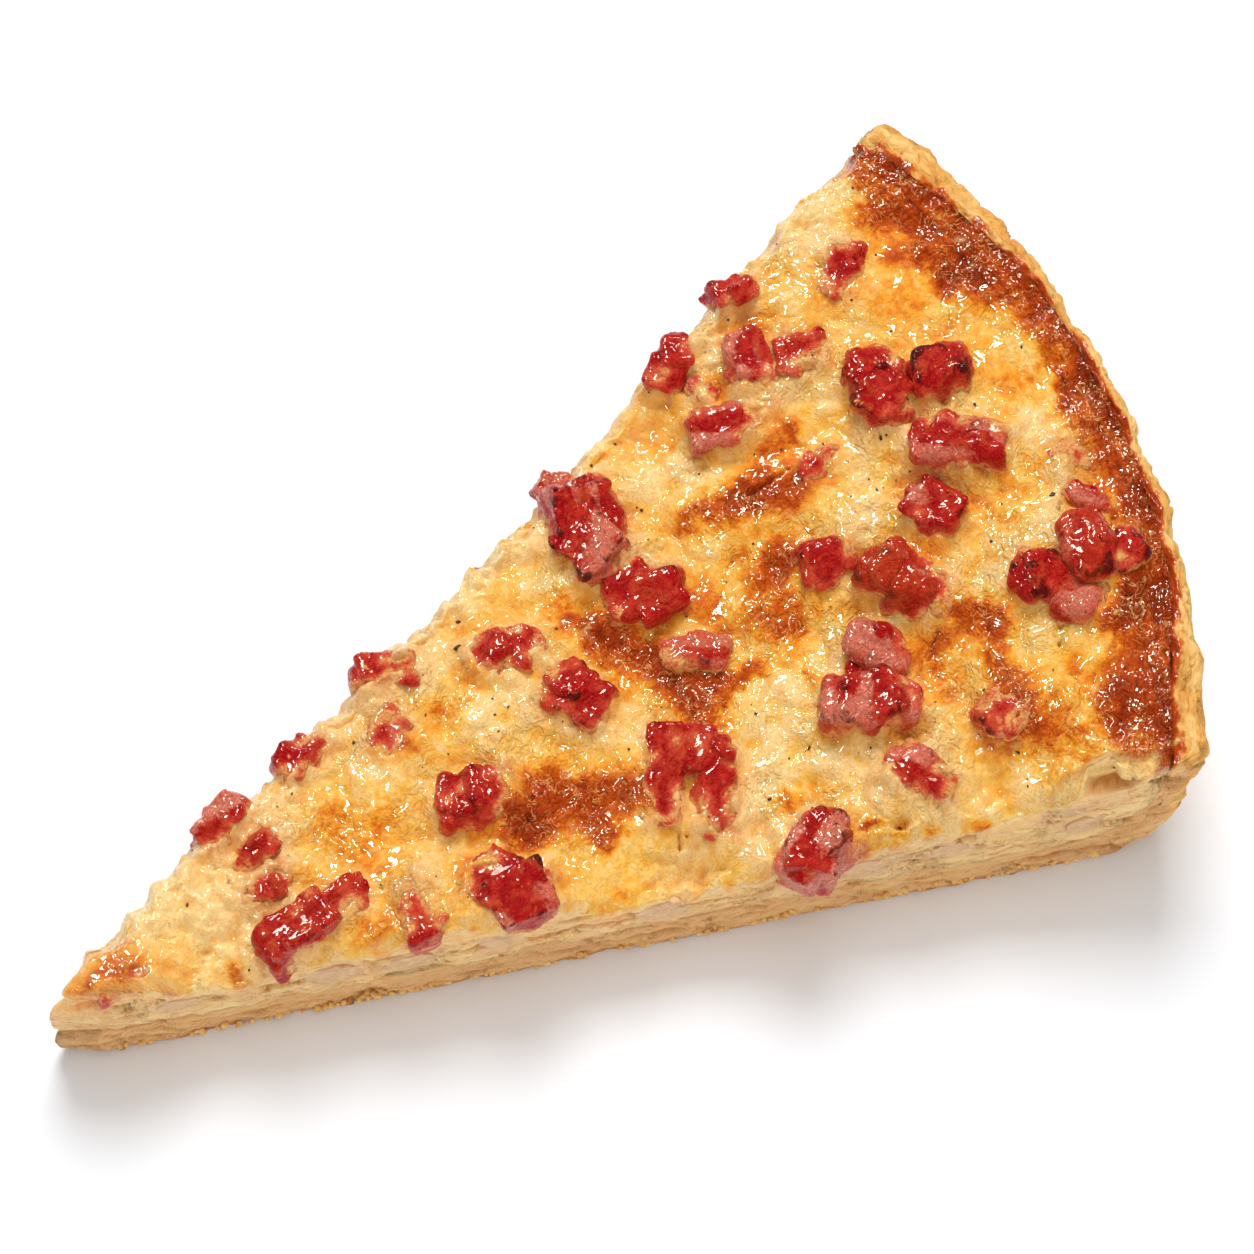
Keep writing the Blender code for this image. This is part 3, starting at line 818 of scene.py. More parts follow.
def neighbour_mean(mesh, values):
    """Each point's mean of this value over the points it shares an edge with."""
    ends = np.empty(len(mesh.edges) * 2, np.int64)
    mesh.edges.foreach_get("vertices", ends)
    ends = ends.reshape(-1, 2)
    total = np.zeros_like(values)
    count = np.zeros(len(values))
    for one, other in ((0, 1), (1, 0)):
        np.add.at(total, ends[:, one], values[ends[:, other]])
        np.add.at(count, ends[:, one], 1.0)
    return total / np.maximum(count, 1.0)[:, None]


def add_piece(name, mesh, material, slot, *nodes):
    piece = bpy.data.objects.new(name, mesh)
    mesh.materials.append(material)
    bpy.context.scene.collection.objects.link(piece)
    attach(piece, "root")
    if nodes:
        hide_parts(*nodes)
    return piece


def solids_tree(names):
    """One search tree over these solids, in the row's frame."""
    points = []
    faces = []
    for name in names:
        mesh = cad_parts[name].data
        start = len(points)
        points += [vertex.co.copy() for vertex in mesh.vertices]
        faces += [[start + corner for corner in face.vertices] for face in mesh.polygons]
    return BVHTree.FromPolygons(points, faces)


def nearest_places(tree, points, most):
    """For each point within this distance: its index, its signed gap and the face."""
    for index, point in enumerate(points):
        place, normal, face, away = tree.find_nearest(Vector(point), most)
        if place is not None:
            inside = (Vector(point) - place).dot(normal) < 0.0
            yield index, -away if inside else away, face


def signed_gap(tree, points, most):
    """How far each point is outside the solids, negative inside, at most this far."""
    gaps = np.full(len(points), most)
    for index, gap, _ in nearest_places(tree, points, most):
        gaps[index] = gap
    return gaps


def near_lardons(points, most):
    """How far each point is outside the lardons, and how high the nearest one's top is."""
    names = [f"lardon_{number:02d}" for number in range(1, LARDON_COUNT + 1)]
    meshes = [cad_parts[name].data for name in names]
    owners = np.repeat(np.arange(len(names)), [len(mesh.polygons) for mesh in meshes])
    tops = np.array([mesh_points(mesh)[:, 2].max() for mesh in meshes])
    gaps = np.full(len(points), most)
    high = np.zeros(len(points))
    for index, gap, face in nearest_places(solids_tree(names), points, most):
        gaps[index] = gap
        high[index] = tops[owners[face]]
    return gaps, high


# --- Materials ----------------------------------------------------------------

GRAIN_ROUGHNESS = 0.55


class Recipe:
    """A material's nodes, added one by one."""

    def __init__(self, name):
        self.material = bpy.data.materials.new(name)
        self.material.use_nodes = True
        self.nodes = self.material.node_tree.nodes
        self.links = self.material.node_tree.links
        self.shader = self.nodes["Principled BSDF"]
        self.place = self.nodes.new("ShaderNodeTexCoord").outputs["Object"]

    def feed(self, socket, value):
        if hasattr(value, "is_linked"):
            self.links.new(value, socket)
        else:
            socket.default_value = value

    def shade(self, **values):
        """Sets the shader's sockets: an underscore stands for a space."""
        for name, value in values.items():
            self.feed(self.shader.inputs[name.replace("_", " ")], value)

    def mask(self, name):
        node = self.nodes.new("ShaderNodeAttribute")
        node.attribute_name = name
        return node.outputs["Fac"]

    def stretched(self, x, y, z):
        node = self.nodes.new("ShaderNodeVectorMath")
        node.operation = "MULTIPLY"
        self.links.new(self.place, node.inputs[0])
        node.inputs[1].default_value = (x, y, z)
        return node.outputs[0]

    def joined(self, across, across_scale, up, up_scale):
        """A place made of two masks, each stretched by its scale."""
        node = self.nodes.new("ShaderNodeCombineXYZ")
        self.links.new(self.times(self.mask(across), across_scale), node.inputs[0])
        self.links.new(self.times(self.mask(up), up_scale), node.inputs[1])
        return node.outputs[0]

    def grain(self, size, detail=3.0, distortion=0.0, place=None):
        """Noise from 0 to 1 with grain of this size, in millimetres."""
        node = self.nodes.new("ShaderNodeTexNoise")
        self.links.new(place or self.place, node.inputs["Vector"])
        node.inputs["Scale"].default_value = 1.0 / (size * MM)
        node.inputs["Detail"].default_value = detail
        node.inputs["Roughness"].default_value = GRAIN_ROUGHNESS
        node.inputs["Distortion"].default_value = distortion
        return node.outputs["Fac"]

    def loops(self, size, turns, place=None):
        """Thin folds that close on themselves, as on greasy baked skin, 0 to 1."""
        noise_here = self.grain(size, 1.0, 0.5, place)
        wave = self.sum("SINE", self.times(noise_here, turns))
        return self.times_plus(wave, 0.5, 0.5)

    def sum(self, operation, *values):
        node = self.nodes.new("ShaderNodeMath")
        node.operation = operation
        for socket, value in zip(node.inputs, values):
            self.feed(socket, value)
        return node.outputs[0]

    def times(self, first, second):
        return self.sum("MULTIPLY", first, second)

    def plus(self, first, second):
        return self.sum("ADD", first, second)

    def minus(self, first, second):
        return self.sum("SUBTRACT", first, second)

    def times_plus(self, first, second, third):
        return self.sum("MULTIPLY_ADD", first, second, third)

    def uneven(self, name, grain, amount):
        """A mask made uneven by grain about its middle."""
        return self.times_plus(self.minus(grain, 0.5), amount, self.mask(name))

    def veins(self, grain, width, strength, middle=0.5):
        """Thin lines where the grain crosses its middle."""
        away = self.sum("ABSOLUTE", self.minus(grain, middle))
        return self.spread(away, 0.0, width, strength, 0.0)

    def spread(self, value, low, high, to_low=0.0, to_high=1.0):
        """Stretches low..high to to_low..to_high, held at both ends."""
        node = self.nodes.new("ShaderNodeMapRange")
        node.interpolation_type = "SMOOTHSTEP"
        for socket, number in zip(node.inputs, (value, low, high, to_low, to_high)):
            self.feed(socket, number)
        return node.outputs[0]

    def ramp(self, value, *stops):
        node = self.nodes.new("ShaderNodeValToRGB")
        self.links.new(value, node.inputs[0])
        elements = node.color_ramp.elements
        while len(elements) < len(stops):
            elements.new(0.5)
        for element, (position, colour) in zip(elements, stops):
            element.position = position
            element.color = colour
        return node.outputs["Color"]

    def mix(self, share, first, second):
        node = self.nodes.new("ShaderNodeMix")
        node.data_type = "RGBA"
        for socket, value in zip((0, 6, 7), (share, first, second)):
            self.feed(node.inputs[socket], value)
        return node.outputs[2]

    def layered(self, base, *layers):
        """Lays colours over the base in turn: each layer is a share and a colour."""
        for share, colour in layers:
            base = self.mix(share, base, colour)
        return base

    def bump(self, height, distance, strength=1.0):
        node = self.nodes.new("ShaderNodeBump")
        node.inputs["Strength"].default_value = strength
        node.inputs["Distance"].default_value = distance
        self.links.new(height, node.inputs["Height"])
        return node.outputs[0]


def cut_colour(recipe, colours):
    """The layered look of the cuts: pale cream with thin shaded layers, and painted shade in
    the cracks and round the masses.
    """
    layers = recipe.stretched(1.0, 1.0, 5.0)
    broad = recipe.grain(5.0, 3.0, 0.6, layers)
    fine = recipe.grain(1.3, 4.0, 0.4, layers)
    mixed = recipe.times_plus(fine, 0.4, recipe.times(broad, 0.6))
    mass = recipe.grain(4.2, 3.0, 0.5, recipe.stretched(0.75, 0.75, 1.9))
    thin = recipe.grain(2.6, 3.0, 0.5, recipe.stretched(0.7, 0.7, 3.2))
    # Painted shade: thin dark lines where cracks would be.
    crack = recipe.times(recipe.veins(thin, 0.040, 0.85), recipe.spread(broad, 0.52, 0.40))
    return recipe.layered(
        recipe.ramp(mixed, (0.36, colours.cut_shade), (0.62, colours.cut_pale)),
        (recipe.spread(mass, 0.50, 0.55, 0.0, 0.55), tint(238, 192, 144)),
        # Painted shade round the masses, where the folds meet.
        (recipe.veins(mass, 0.022, 0.60, 0.515), tint(216, 152, 76)),
        (crack, tint(196, 132, 66)),
    )


def browned_custard(recipe, colours, small, broad, tiny, wrinkle):
    """The colour of the custard's top, from its masks and its grain."""
    browning = recipe.mask("browning")
    # Noise pushes the browning about most where it is neither pale nor burnt.
    room = recipe.times(recipe.minus(1.0, browning), browning)
    room = recipe.times_plus(room, 2.3, 0.14)
    sway = recipe.minus(recipe.plus(small, broad), 1.0)
    browned = recipe.times_plus(sway, room, browning)
    streak = recipe.grain(1.3, 3.0, 0.6, recipe.joined("arc", 0.22, "gap", 1.1))
    browned = recipe.times_plus(recipe.minus(streak, 0.5), recipe.mask("rim"), browned)
    plain = recipe.ramp(
        browned,
        (0.00, colours.cream),
        (0.17, colours.yellow),
        (0.38, colours.golden),
        (0.60, colours.orange),
        (0.80, colours.brown),
        (1.00, colours.burnt),
    )
    pale = recipe.times(recipe.mask("pale"), recipe.spread(small, 0.35, 0.65, 0.45, 1.0))
    freckle = recipe.times(recipe.spread(recipe.plus(tiny, browning), 0.98, 1.20), 0.35)
    speck = recipe.spread(recipe.grain(0.65, 3.0, 0.4), 0.655, 0.70, 0.0, 0.75)
    speckled = recipe.times_plus(pale, 0.14, broad)
    speck = recipe.times(speck, recipe.spread(speckled, 0.50, 0.60))
    clot = recipe.spread(recipe.grain(1.0, 3.0, 0.6), 0.52, 0.62, 0.0, 0.40)
    clot = recipe.times(clot, recipe.spread(browned, 0.50, 0.25))
    stain = recipe.times(recipe.mask("stain"), recipe.spread(small, 0.3, 0.7, 0.3, 0.85))
    # Golden in the hollows of the fine wrinkles: painted shade there, and oil settled in them.
    wrinkle_hollow_shade = recipe.spread(wrinkle, 0.50, 0.32, 0.0, 0.70)
    wrinkle_hollow_shade = recipe.times(wrinkle_hollow_shade, recipe.spread(browned, 0.62, 0.30))
    # Painted highlights: thin pale loops in the wet film, where glints would show on greasy
    # skin.
    painted_glints = recipe.spread(recipe.loops(1.1, 30.0), 0.80, 1.0, 0.0, 0.50)
    painted_glints = recipe.times(painted_glints, recipe.spread(recipe.grain(2.6, 2.0), 0.42, 0.58))
    painted_glints = recipe.times(painted_glints, recipe.mask("film"))
    return recipe.layered(
        plain,
        (pale, tint(255, 216, 148)),
        (freckle, colours.brown),
        (speck, tint(206, 118, 40)),
        (clot, tint(255, 226, 158)),
        (stain, tint(214, 112, 62)),
        (wrinkle_hollow_shade, tint(246, 166, 58)),
        (painted_glints, tint(255, 206, 124)),
    )


def custard_material(colours):
    recipe = Recipe("baked_custard")
    film = recipe.mask("film")
    cut = recipe.mask("cut")
    small = recipe.grain(0.9, 4.0, 0.8)
    broad = recipe.grain(3.4, 4.0, 0.6)
    tiny = recipe.grain(0.35, 2.0)
    wrinkle = recipe.grain(0.60, 2.5, 1.8)
    top = browned_custard(recipe, colours, small, broad, tiny, wrinkle)
    mottled = recipe.spread(small, 0.35, 0.65)
    side = recipe.layered(
        cut_colour(recipe, colours),
        (recipe.mask("ham_tint"), colours.ham_pale),
        (recipe.mask("lip"), recipe.mix(mottled, tint(255, 214, 158), tint(252, 194, 122))),
        # Painted shade in the cut's holes and cracks.
        (recipe.mask("hollow"), tint(200, 130, 60)),
    )
    oil = recipe.spread(broad, 0.35, 0.6, 0.6, 1.0)
    around = recipe.joined("arc", 0.35, "gap", 1.2)
    rim_folds = recipe.times(recipe.loops(1.3, 22.0, around), recipe.mask("rim"))
    height = recipe.times_plus(tiny, 0.42, recipe.times(wrinkle, 0.62))
    height = recipe.times_plus(rim_folds, 0.30, height)
    height = recipe.times(height, recipe.spread(film, 0.0, 1.0, 0.75, 1.35))
    filmed = recipe.spread(film, 0.25, 0.75, 0.0, 0.40)
    height = recipe.times_plus(recipe.loops(1.5, 26.0), filmed, height)
    recipe.shade(
        Base_Color=recipe.mix(cut, top, side),
        Roughness=recipe.times_plus(cut, 0.28, recipe.spread(small, 0.3, 0.7, 0.26, 0.46)),
        Coat_Weight=recipe.times(oil, recipe.times_plus(cut, -0.85, 1.0)),
        Coat_Roughness=0.055,
        Specular_IOR_Level=0.12,
        Subsurface_Weight=0.24,
        Subsurface_Radius=(1.0, 0.55, 0.22),
        Subsurface_Scale=1.6 * MM,
        Normal=recipe.bump(height, 0.38 * MM),
    )
    return recipe.material


def pastry_material(colours):
    recipe = Recipe("shortcrust")
    around = recipe.joined("arc", 0.45, "drop", 1.3)
    flakes = recipe.grain(1.8, 4.0, 0.6, around)
    small = recipe.grain(0.7, 4.0, 0.5)
    blend = recipe.times_plus(small, 0.35, recipe.times(flakes, 0.65))
    baked = recipe.mask("baked")
    crust = recipe.ramp(
        recipe.times_plus(baked, 0.55, blend),
        (0.34, colours.pastry_pale),
        (0.56, colours.pastry_gold),
        (0.95, colours.pastry_brown),
    )
    line = recipe.veins(recipe.grain(1.6, 3.0, 0.8, around), 0.035, 0.6)
    crack = recipe.times(line, recipe.spread(flakes, 0.45, 0.6))
    side = recipe.layered(
        cut_colour(recipe, colours),
        (0.40, tint(224, 160, 98)),
        # Painted shade in the cut's holes and cracks.
        (recipe.mask("hollow"), tint(186, 118, 54)),
        (baked, colours.pastry_brown),
    )
    scorched = recipe.uneven("scorched", small, 0.9)
    depth = recipe.times(recipe.times_plus(flakes, 0.5, scorched), 0.5)
    glaze = recipe.ramp(
        depth, (0.42, colours.orange), (0.62, colours.brown), (0.84, colours.burnt)
    )
    glazed = recipe.spread(scorched, 0.34, 0.62)
    colour = recipe.layered(
        crust,
        (crack, colours.pastry_brown),
        (recipe.mask("cut"), side),
        (recipe.spread(scorched, 0.12, 0.50, 0.0, 0.7), colours.pastry_brown),
        (glazed, glaze),
    )
    height = recipe.times_plus(small, 0.6, recipe.grain(0.55, 3.0, 0.4, around))
    recipe.shade(
        Base_Color=colour,
        Roughness=recipe.spread(small, 0.3, 0.7, 0.50, 0.74),
        Coat_Weight=recipe.times(glazed, 0.8),
        Coat_Roughness=0.10,
        Specular_IOR_Level=0.20,
        Subsurface_Weight=0.10,
        Subsurface_Radius=(1.0, 0.6, 0.3),
        Subsurface_Scale=1.0 * MM,
        Normal=recipe.bump(height, 0.32 * MM),
    )
    return recipe.material


def bacon_material(colours):
    recipe = Recipe("fried_bacon")
    small = recipe.grain(0.6, 4.0, 0.8)
    broad = recipe.grain(2.0, 3.0, 0.5)
    pink = recipe.uneven("pink", small, 0.7)
    marble = recipe.spread(recipe.grain(0.60, 4.0, 1.6), 0.56, 0.66, 0.0, 0.50)
    # Pale flecks on the pink: specks of fat, with painted glints on them.
    fat_and_glint_flecks = recipe.spread(recipe.grain(0.32, 3.0, 0.8), 0.60, 0.68, 0.0, 0.75)
    burnt = recipe.spread(recipe.uneven("char", small, 0.8), 0.50, 1.05, 0.0, 0.90)
    toast = recipe.times(recipe.mask("toast"), recipe.spread(small, 0.25, 0.6, 0.5, 1.0))
    soaked = recipe.uneven("sunk", small, 0.9)
    colour = recipe.layered(
        colours.bacon_red,
        (recipe.spread(broad, 0.42, 0.68), tint(206, 48, 34)),
        (recipe.spread(pink, 0.32, 0.66), colours.bacon_pink),
        (recipe.times(marble, recipe.spread(pink, 0.3, 0.7)), tint(246, 182, 156)),
        (recipe.times(fat_and_glint_flecks, recipe.spread(pink, 0.4, 0.7)), tint(255, 224, 200)),
        (recipe.veins(recipe.grain(1.5, 4.0, 1.2), 0.030, 0.45), tint(120, 12, 12)),
        (burnt, colours.bacon_char),
        (toast, tint(196, 80, 22)),
        (recipe.spread(soaked, 0.22, 0.85, 0.0, 0.80), tint(226, 86, 58)),
        (recipe.spread(soaked, 0.72, 1.10, 0.0, 0.80), tint(250, 194, 116)),
        (recipe.spread(recipe.grain(1.5, 3.0, 0.8), 0.52, 0.68, 0.0, 0.50), tint(208, 88, 44)),
    )
    unburnt = recipe.times_plus(burnt, -0.7, 1.0)
    height = recipe.times_plus(small, 0.8, recipe.grain(0.40, 3.0, 1.4))
    height = recipe.times_plus(recipe.loops(1.2, 24.0), 0.45, height)
    recipe.shade(
        Base_Color=colour,
        Roughness=recipe.spread(small, 0.3, 0.7, 0.22, 0.42),
        Coat_Weight=recipe.times(recipe.spread(broad, 0.3, 0.7, 0.35, 0.85), unburnt),
        Coat_Roughness=0.08,
        Specular_IOR_Level=0.08,
        Subsurface_Weight=0.35,
        Subsurface_Radius=(1.0, 0.20, 0.14),
        Subsurface_Scale=1.4 * MM,
        Normal=recipe.bump(height, 0.27 * MM),
    )
    return recipe.material


def ham_material(colours):
    recipe = Recipe("cooked_ham")
    broad = recipe.grain(1.8, 3.0, 0.8)
    small = recipe.grain(0.5, 4.0, 0.4)
    layers = recipe.stretched(1.0, 1.0, 3.0)
    colour = recipe.ramp(broad, (0.35, colours.ham_pink), (0.62, colours.ham_pale))
    streak = recipe.spread(recipe.grain(1.2, 4.0, 0.6, layers), 0.50, 0.66, 0.0, 0.6)
    recipe.shade(
        Base_Color=recipe.mix(streak, colour, colours.cut_pale),
        Roughness=recipe.spread(small, 0.3, 0.7, 0.40, 0.60),
        Coat_Weight=0.15,
        Coat_Roughness=0.25,
        Subsurface_Weight=0.15,
        Subsurface_Radius=(1.0, 0.5, 0.4),
        Subsurface_Scale=1.0 * MM,
        Normal=recipe.bump(recipe.grain(0.8, 4.0, 0.6, layers), 0.30 * MM),
    )
    return recipe.material


def fleck_material(name, pale, dark, roughness):
    """Two colours mottled together, for pepper flecks and crumbs."""
    recipe = Recipe(name)
    mottle = recipe.grain(0.8, 3.0, 0.5)
    recipe.shade(
        Base_Color=recipe.ramp(mottle, (0.35, dark), (0.65, pale)),
        Roughness=recipe.spread(mottle, 0.3, 0.7, roughness - 0.1, roughness + 0.1),
        Normal=recipe.bump(recipe.grain(0.2, 2.0), 0.08 * MM, 0.8),
    )
    return recipe.material


# --- Pieces -------------------------------------------------------------------


def hole_depth(run, height, holes):
    """How deep the cut is at each place, from its listed holes."""
    depth = np.zeros_like(run)
    ragged = 1.0 + 0.25 * lumps(flat_points(run, height), 1.6, 31)
    for where, level, half_width, half_height, deep in holes:
        across = (run / MM - where) / half_width
        upwards = (height / MM - level) / half_height
        inside = step(1.35 - np.sqrt(across ** 2 + upwards ** 2) * ragged)
        depth = np.maximum(depth, deep * MM * inside)
    return depth


def layer_gaps(run, height, side):
    """How open the long gaps between the layers are at each place, 0 to 1."""
    line = flat_points(run, 0.02 * side)
    gaps = np.zeros_like(run)
    for level, thickness, seed in LAYER_GAPS:
        wander = 0.7 * MM * lumps(line, 9.0, seed) + 0.3 * MM * lumps(line, 2.6, seed + 3)
        opening = step(lumps(flat_points(run, 0.04 * side), 4.5, seed + 6) * 2.4 + 0.35)
        near = np.exp(-(((height - level * MM - wander) / (thickness * MM)) ** 2))
        gaps = np.maximum(gaps, near * opening)
    return gaps


def cut_depth(run, height, side, roughness):
    """How far the cut's surface lies inside its plane, and how deep in holes and cracks it is,
    0 to 1, for painted shade there.
    """
    spots = flat_points(run, 0.03 * side, height)
    layers = lumps(spots, (4.5, 1.0, 0.75), 41)
    fine = lumps(spots, (1.3, 1.0, 0.35), 42)
    crumb = granules(spots, (1.5, 1.0, 0.7), 43)
    crack = step((ridges(spots, (5.0, 1.0, 1.1), 44) - 0.78) / 0.16)
    crack = crack * step(lumps(spots, 4.0, 45) * 2.4 + (0.05 if side < 0.0 else -0.15))
    crack = np.maximum(crack, layer_gaps(run, height, side))
    crack = crack * np.minimum(1.0, roughness / (0.2 * MM))
    folds = pillows(spots, (5.4, 1.0, 2.0), 35)
    depth = roughness * (1.0 + layers + 0.45 * fine - 0.8 * crumb) + 1.00 * MM * crack
    depth += np.minimum(roughness, 0.2 * MM) * (1.1 - 2.6 * folds)
    holes = hole_depth(run, height, NEAR_HOLES if side < 0 else FAR_HOLES)
    return depth + holes, np.clip(holes / (0.8 * MM) + 0.8 * crack, 0.0, 1.0)


def torn_edge(run, below, side):
    """How far a cut's top edge is torn inwards: more on the far side than on the near one."""
    most = (1.7 if side > 0.0 else 0.5) * MM
    spots = flat_points(run, 0.05 * side, below)
    tear = 0.45 + 0.8 * lumps(spots, 3.4, 32) + 0.5 * pillows(spots, 2.2, 33)
    return most * np.clip(tear, 0.0, 1.2) * step(1.0 - below / (3.2 * MM))


def recessed(points, distance, angle, roughness, below=None, edges=None):
    """Draws the points in from both cuts, and returns how deep in holes and cracks each is, for
    painted shade there.

    edges has each cut's top edge as runs and heights: inner points follow it.
    """
    hollow = np.zeros(len(points))
    room = np.minimum(3.6 * MM, 0.8 * distance * sin(HALF_ANGLE))
    for side in SIDES:
        away = distance * np.sin(np.abs(angle - side * HALF_ANGLE))
        close = away < room
        run = distance[close]
        reach = room[close]
        level = points[close, 2]
        if edges:
            inner = np.abs(angle[close]) < 0.9999 * HALF_ANGLE
            level = np.where(inner, np.interp(run, *edges[side]), level)
        depth, deep = cut_depth(run, level, side, roughness[close])
        if below is not None:
            depth = depth + torn_edge(run, below[close], side)
        depth = np.minimum(depth, 0.55 * reach)
        fall = step(1.0 - away[close] / reach)
        points[close] += (depth * fall)[:, None] * inward(side)
        hollow[close] = np.maximum(hollow[close], deep * fall)
    return hollow


class CustardTop(NamedTuple):
    """The height and the masks of the custard's top, one value a point."""

    height: np.ndarray
    browning: np.ndarray
    pale: np.ndarray
    stain: np.ndarray
    film: np.ndarray


def crumbly_share(spots, far_edge, apart, browning, pools):
    """Where the custard breaks into pale curds: by the far cut, the point and the bacon."""
    along, across = spots[:, 0], spots[:, 1]
    crumbly = step((7.0 * MM + 3.0 * MM * lumps(spots, 6.0, 51) - far_edge) / (5.0 * MM))
    crumbly = np.maximum(crumbly, step((36.0 * MM - along) / (12.0 * MM)))
    torn = np.zeros_like(along)
    for where, side, radius, _ in TORN_PITS:
        torn = np.maximum(torn, step(1.6 - circled(along, across, where, side, radius)))
    beside = faded(apart - 0.6 * MM, 1.6) * step(lumps(spots, 3.6, 49) * 1.6 + 0.5)
    crumbly = np.clip(crumbly + torn + 0.6 * beside, 0.0, 1.0)
    return crumbly * (1.0 - step(browning * 1.6)) * (1.0 - 0.7 * pools)


def custard_top(along, across, share, gap, sizes):
    """The custard's fine top: its height and its masks."""
    spots = flat_points(along, across)
    distance = np.hypot(along, across)
    angle = np.arctan2(across, along)
    far_edge = distance * np.sin(HALF_ANGLE - angle)
    edges = np.minimum(far_edge, distance * np.sin(HALF_ANGLE + angle))
    base = custard_height(along, across)
    apart, tops = near_lardons(flat_points(along, across, base) + APEX, 6.0 * MM)

    # Where it is browned: the band by the rim, the patches, the pools and the bacon's sides;
    # the golden tone in the hollows and beside the bacon is partly painted shade.
    band = band_strength(share, gap, spots)
    patches = patch_strength(along, across)
    browning = 1.0 - (1.0 - band) * (1.0 - patches)
    pools = pool_strength(along, across)
    crumbly = crumbly_share(spots, far_edge, apart, browning, pools)
    swell = 0.85 * pillows(spots, 7.0, 60) + 0.65 * pillows(spots, 3.4, 70)
    swell += 0.5 * lumps(spots, 9.0, 75)
    ripple = 0.22 * lumps(spots, 2.4, 78) + 0.13 * lumps(spots, 1.2, 79)
    # Golden tone that varies at random and grows where the swells and ripples are low: painted
    # shade in the hollows, and oil settled there.
    gold = 0.20 + 0.13 * lumps(spots, 9.0, 52) + 0.08 * lumps(spots, 3.5, 53)
    gold = np.clip(gold - 0.44 * swell - 0.60 * ripple, 0.0, 0.5)
    browning = np.maximum(browning, np.maximum(gold * (1.0 - 0.6 * crumbly), 0.50 * pools))
    toasted = step(1.0 - edges / (1.6 * MM)) * step(lumps(spots, 2.4, 54) * 1.8 + 0.15)
    browning = np.maximum(browning, 0.52 * toasted)
    stain = faded(apart, 1.2) * (0.75 + 0.45 * lumps(spots, 2.5, 55))
    stain = stain * (1.0 - step(browning * 1.3 - 0.2))
    # Browning beside the bacon: custard browned by its fat, and partly painted contact shade.
    bacon_browning_and_shade = faded(apart, 1.7) * (0.6 + 0.6 * lumps(spots, 3.0, 56))
    browning = np.clip(browning + 0.13 * bacon_browning_and_shade * (1.0 - 0.7 * crumbly), 0.0, 1.0)

    # Its fine height: swells, wrinkles where it is browned, curds where it is crumbly.
    calm = 1.0 - 0.75 * pools
    grains = granules(spots + 0.5 * MM * lumps(spots, 1.6, 50)[:, None], 1.9, 57)
    small_grains = granules(spots, 1.0, 58)
    wrinkles = ridges(spots, 1.3, 62) + 0.7 * ridges(spots, 0.7, 63)
    dimples = lumps(spots, 1.1, 64) + 0.5 * lumps(spots, 0.6, 65)
    folds = ridges(flat_points(gap, rim_arc(along, across)), (0.9, 5.5, 1.0), 59)
    crease = step((ridges(spots, 3.0, 80) - 0.80) / 0.18)
    crease = crease * step(lumps(spots, 5.0, 36) * 2.0 + 0.4)
    height = base - 0.15 * MM
    height += sizes.lump_height * swell * calm
    height += sizes.wrinkle_height * step(browning * 2.2 - 0.7) * wrinkles
    height += 0.35 * sizes.wrinkle_height * calm * dimples
    height += sizes.curd_height * crumbly * (grains + 0.5 * small_grains - 0.6)
    height += calm * MM * ripple
    height -= 0.30 * MM * calm * crease
    height += 0.16 * MM * calm * (1.0 - crumbly) * (small_grains - 0.4)
    height += 0.30 * MM * folds * step(1.0 - gap / (6.0 * MM))

    # It climbs the bacon's sides, and drops away under the bacon.
    climb = 1.0 + 0.6 * lumps(spots, 2.2, 67)
    lift = np.clip(sizes.creep_share * (tops - base), 0.3 * MM, 2.0 * MM)
    height += lift * climb * faded(apart, 1.3)
    height -= 2.4 * MM * step((-apart - 0.45 * MM) / (0.8 * MM))

    # Pits, and the pocket with its torn rim.
    ragged = 1.0 + 0.3 * lumps(spots, 1.5, 66)
    for where, side, radius, depth in PITS:
        inside = step(1.3 - circled(along, across, where, side, radius) * ragged)
        height -= depth * MM * inside
        browning = np.maximum(browning, 0.30 * inside)
    ragged = 1.0 + 0.35 * lumps(spots, 2.0, 61)
    broken = step((1.25 - np.hypot(*turned(along, across, POCKET)) * ragged) * 2.2)
    height -= POCKET.strength * MM * broken * (0.85 + 0.3 * lumps(spots, 3.0, 69))
    browning = browning * (1.0 - 0.9 * broken) + 0.9 * broken * (1.0 - broken) + 0.1 * broken

    # It rounds off towards the cuts and the point, and rises a little at the rim.
    height -= 1.2 * MM * step(1.0 - edges / (2.0 * MM)) ** 2
    height += 0.35 * MM * step(1.0 - gap / (1.6 * MM))
    from_tip = distance - tip_distance(share) - TIP_SETBACK
    height -= 2.6 * MM * step(1.0 - from_tip / (3.6 * MM)) ** 2

    wet = step(0.5 + 1.6 * lumps(spots, 4.5, 68)) * (1.0 - 0.6 * crumbly)
    film = np.clip(np.maximum(step(browning * 1.8 - 0.35), 0.8 * wet) * calm, 0.0, 1.0)
    # Golden between the curds and paler on their tops: partly painted shade between them,
    # partly oil settled there.
    browning = np.clip(browning + 0.30 * crumbly * (0.42 - grains), 0.0, 1.0)
    pale = np.maximum(crumbly * (0.40 + 0.60 * grains), 0.9 * broken)
    return CustardTop(height, browning, pale, stain, film)


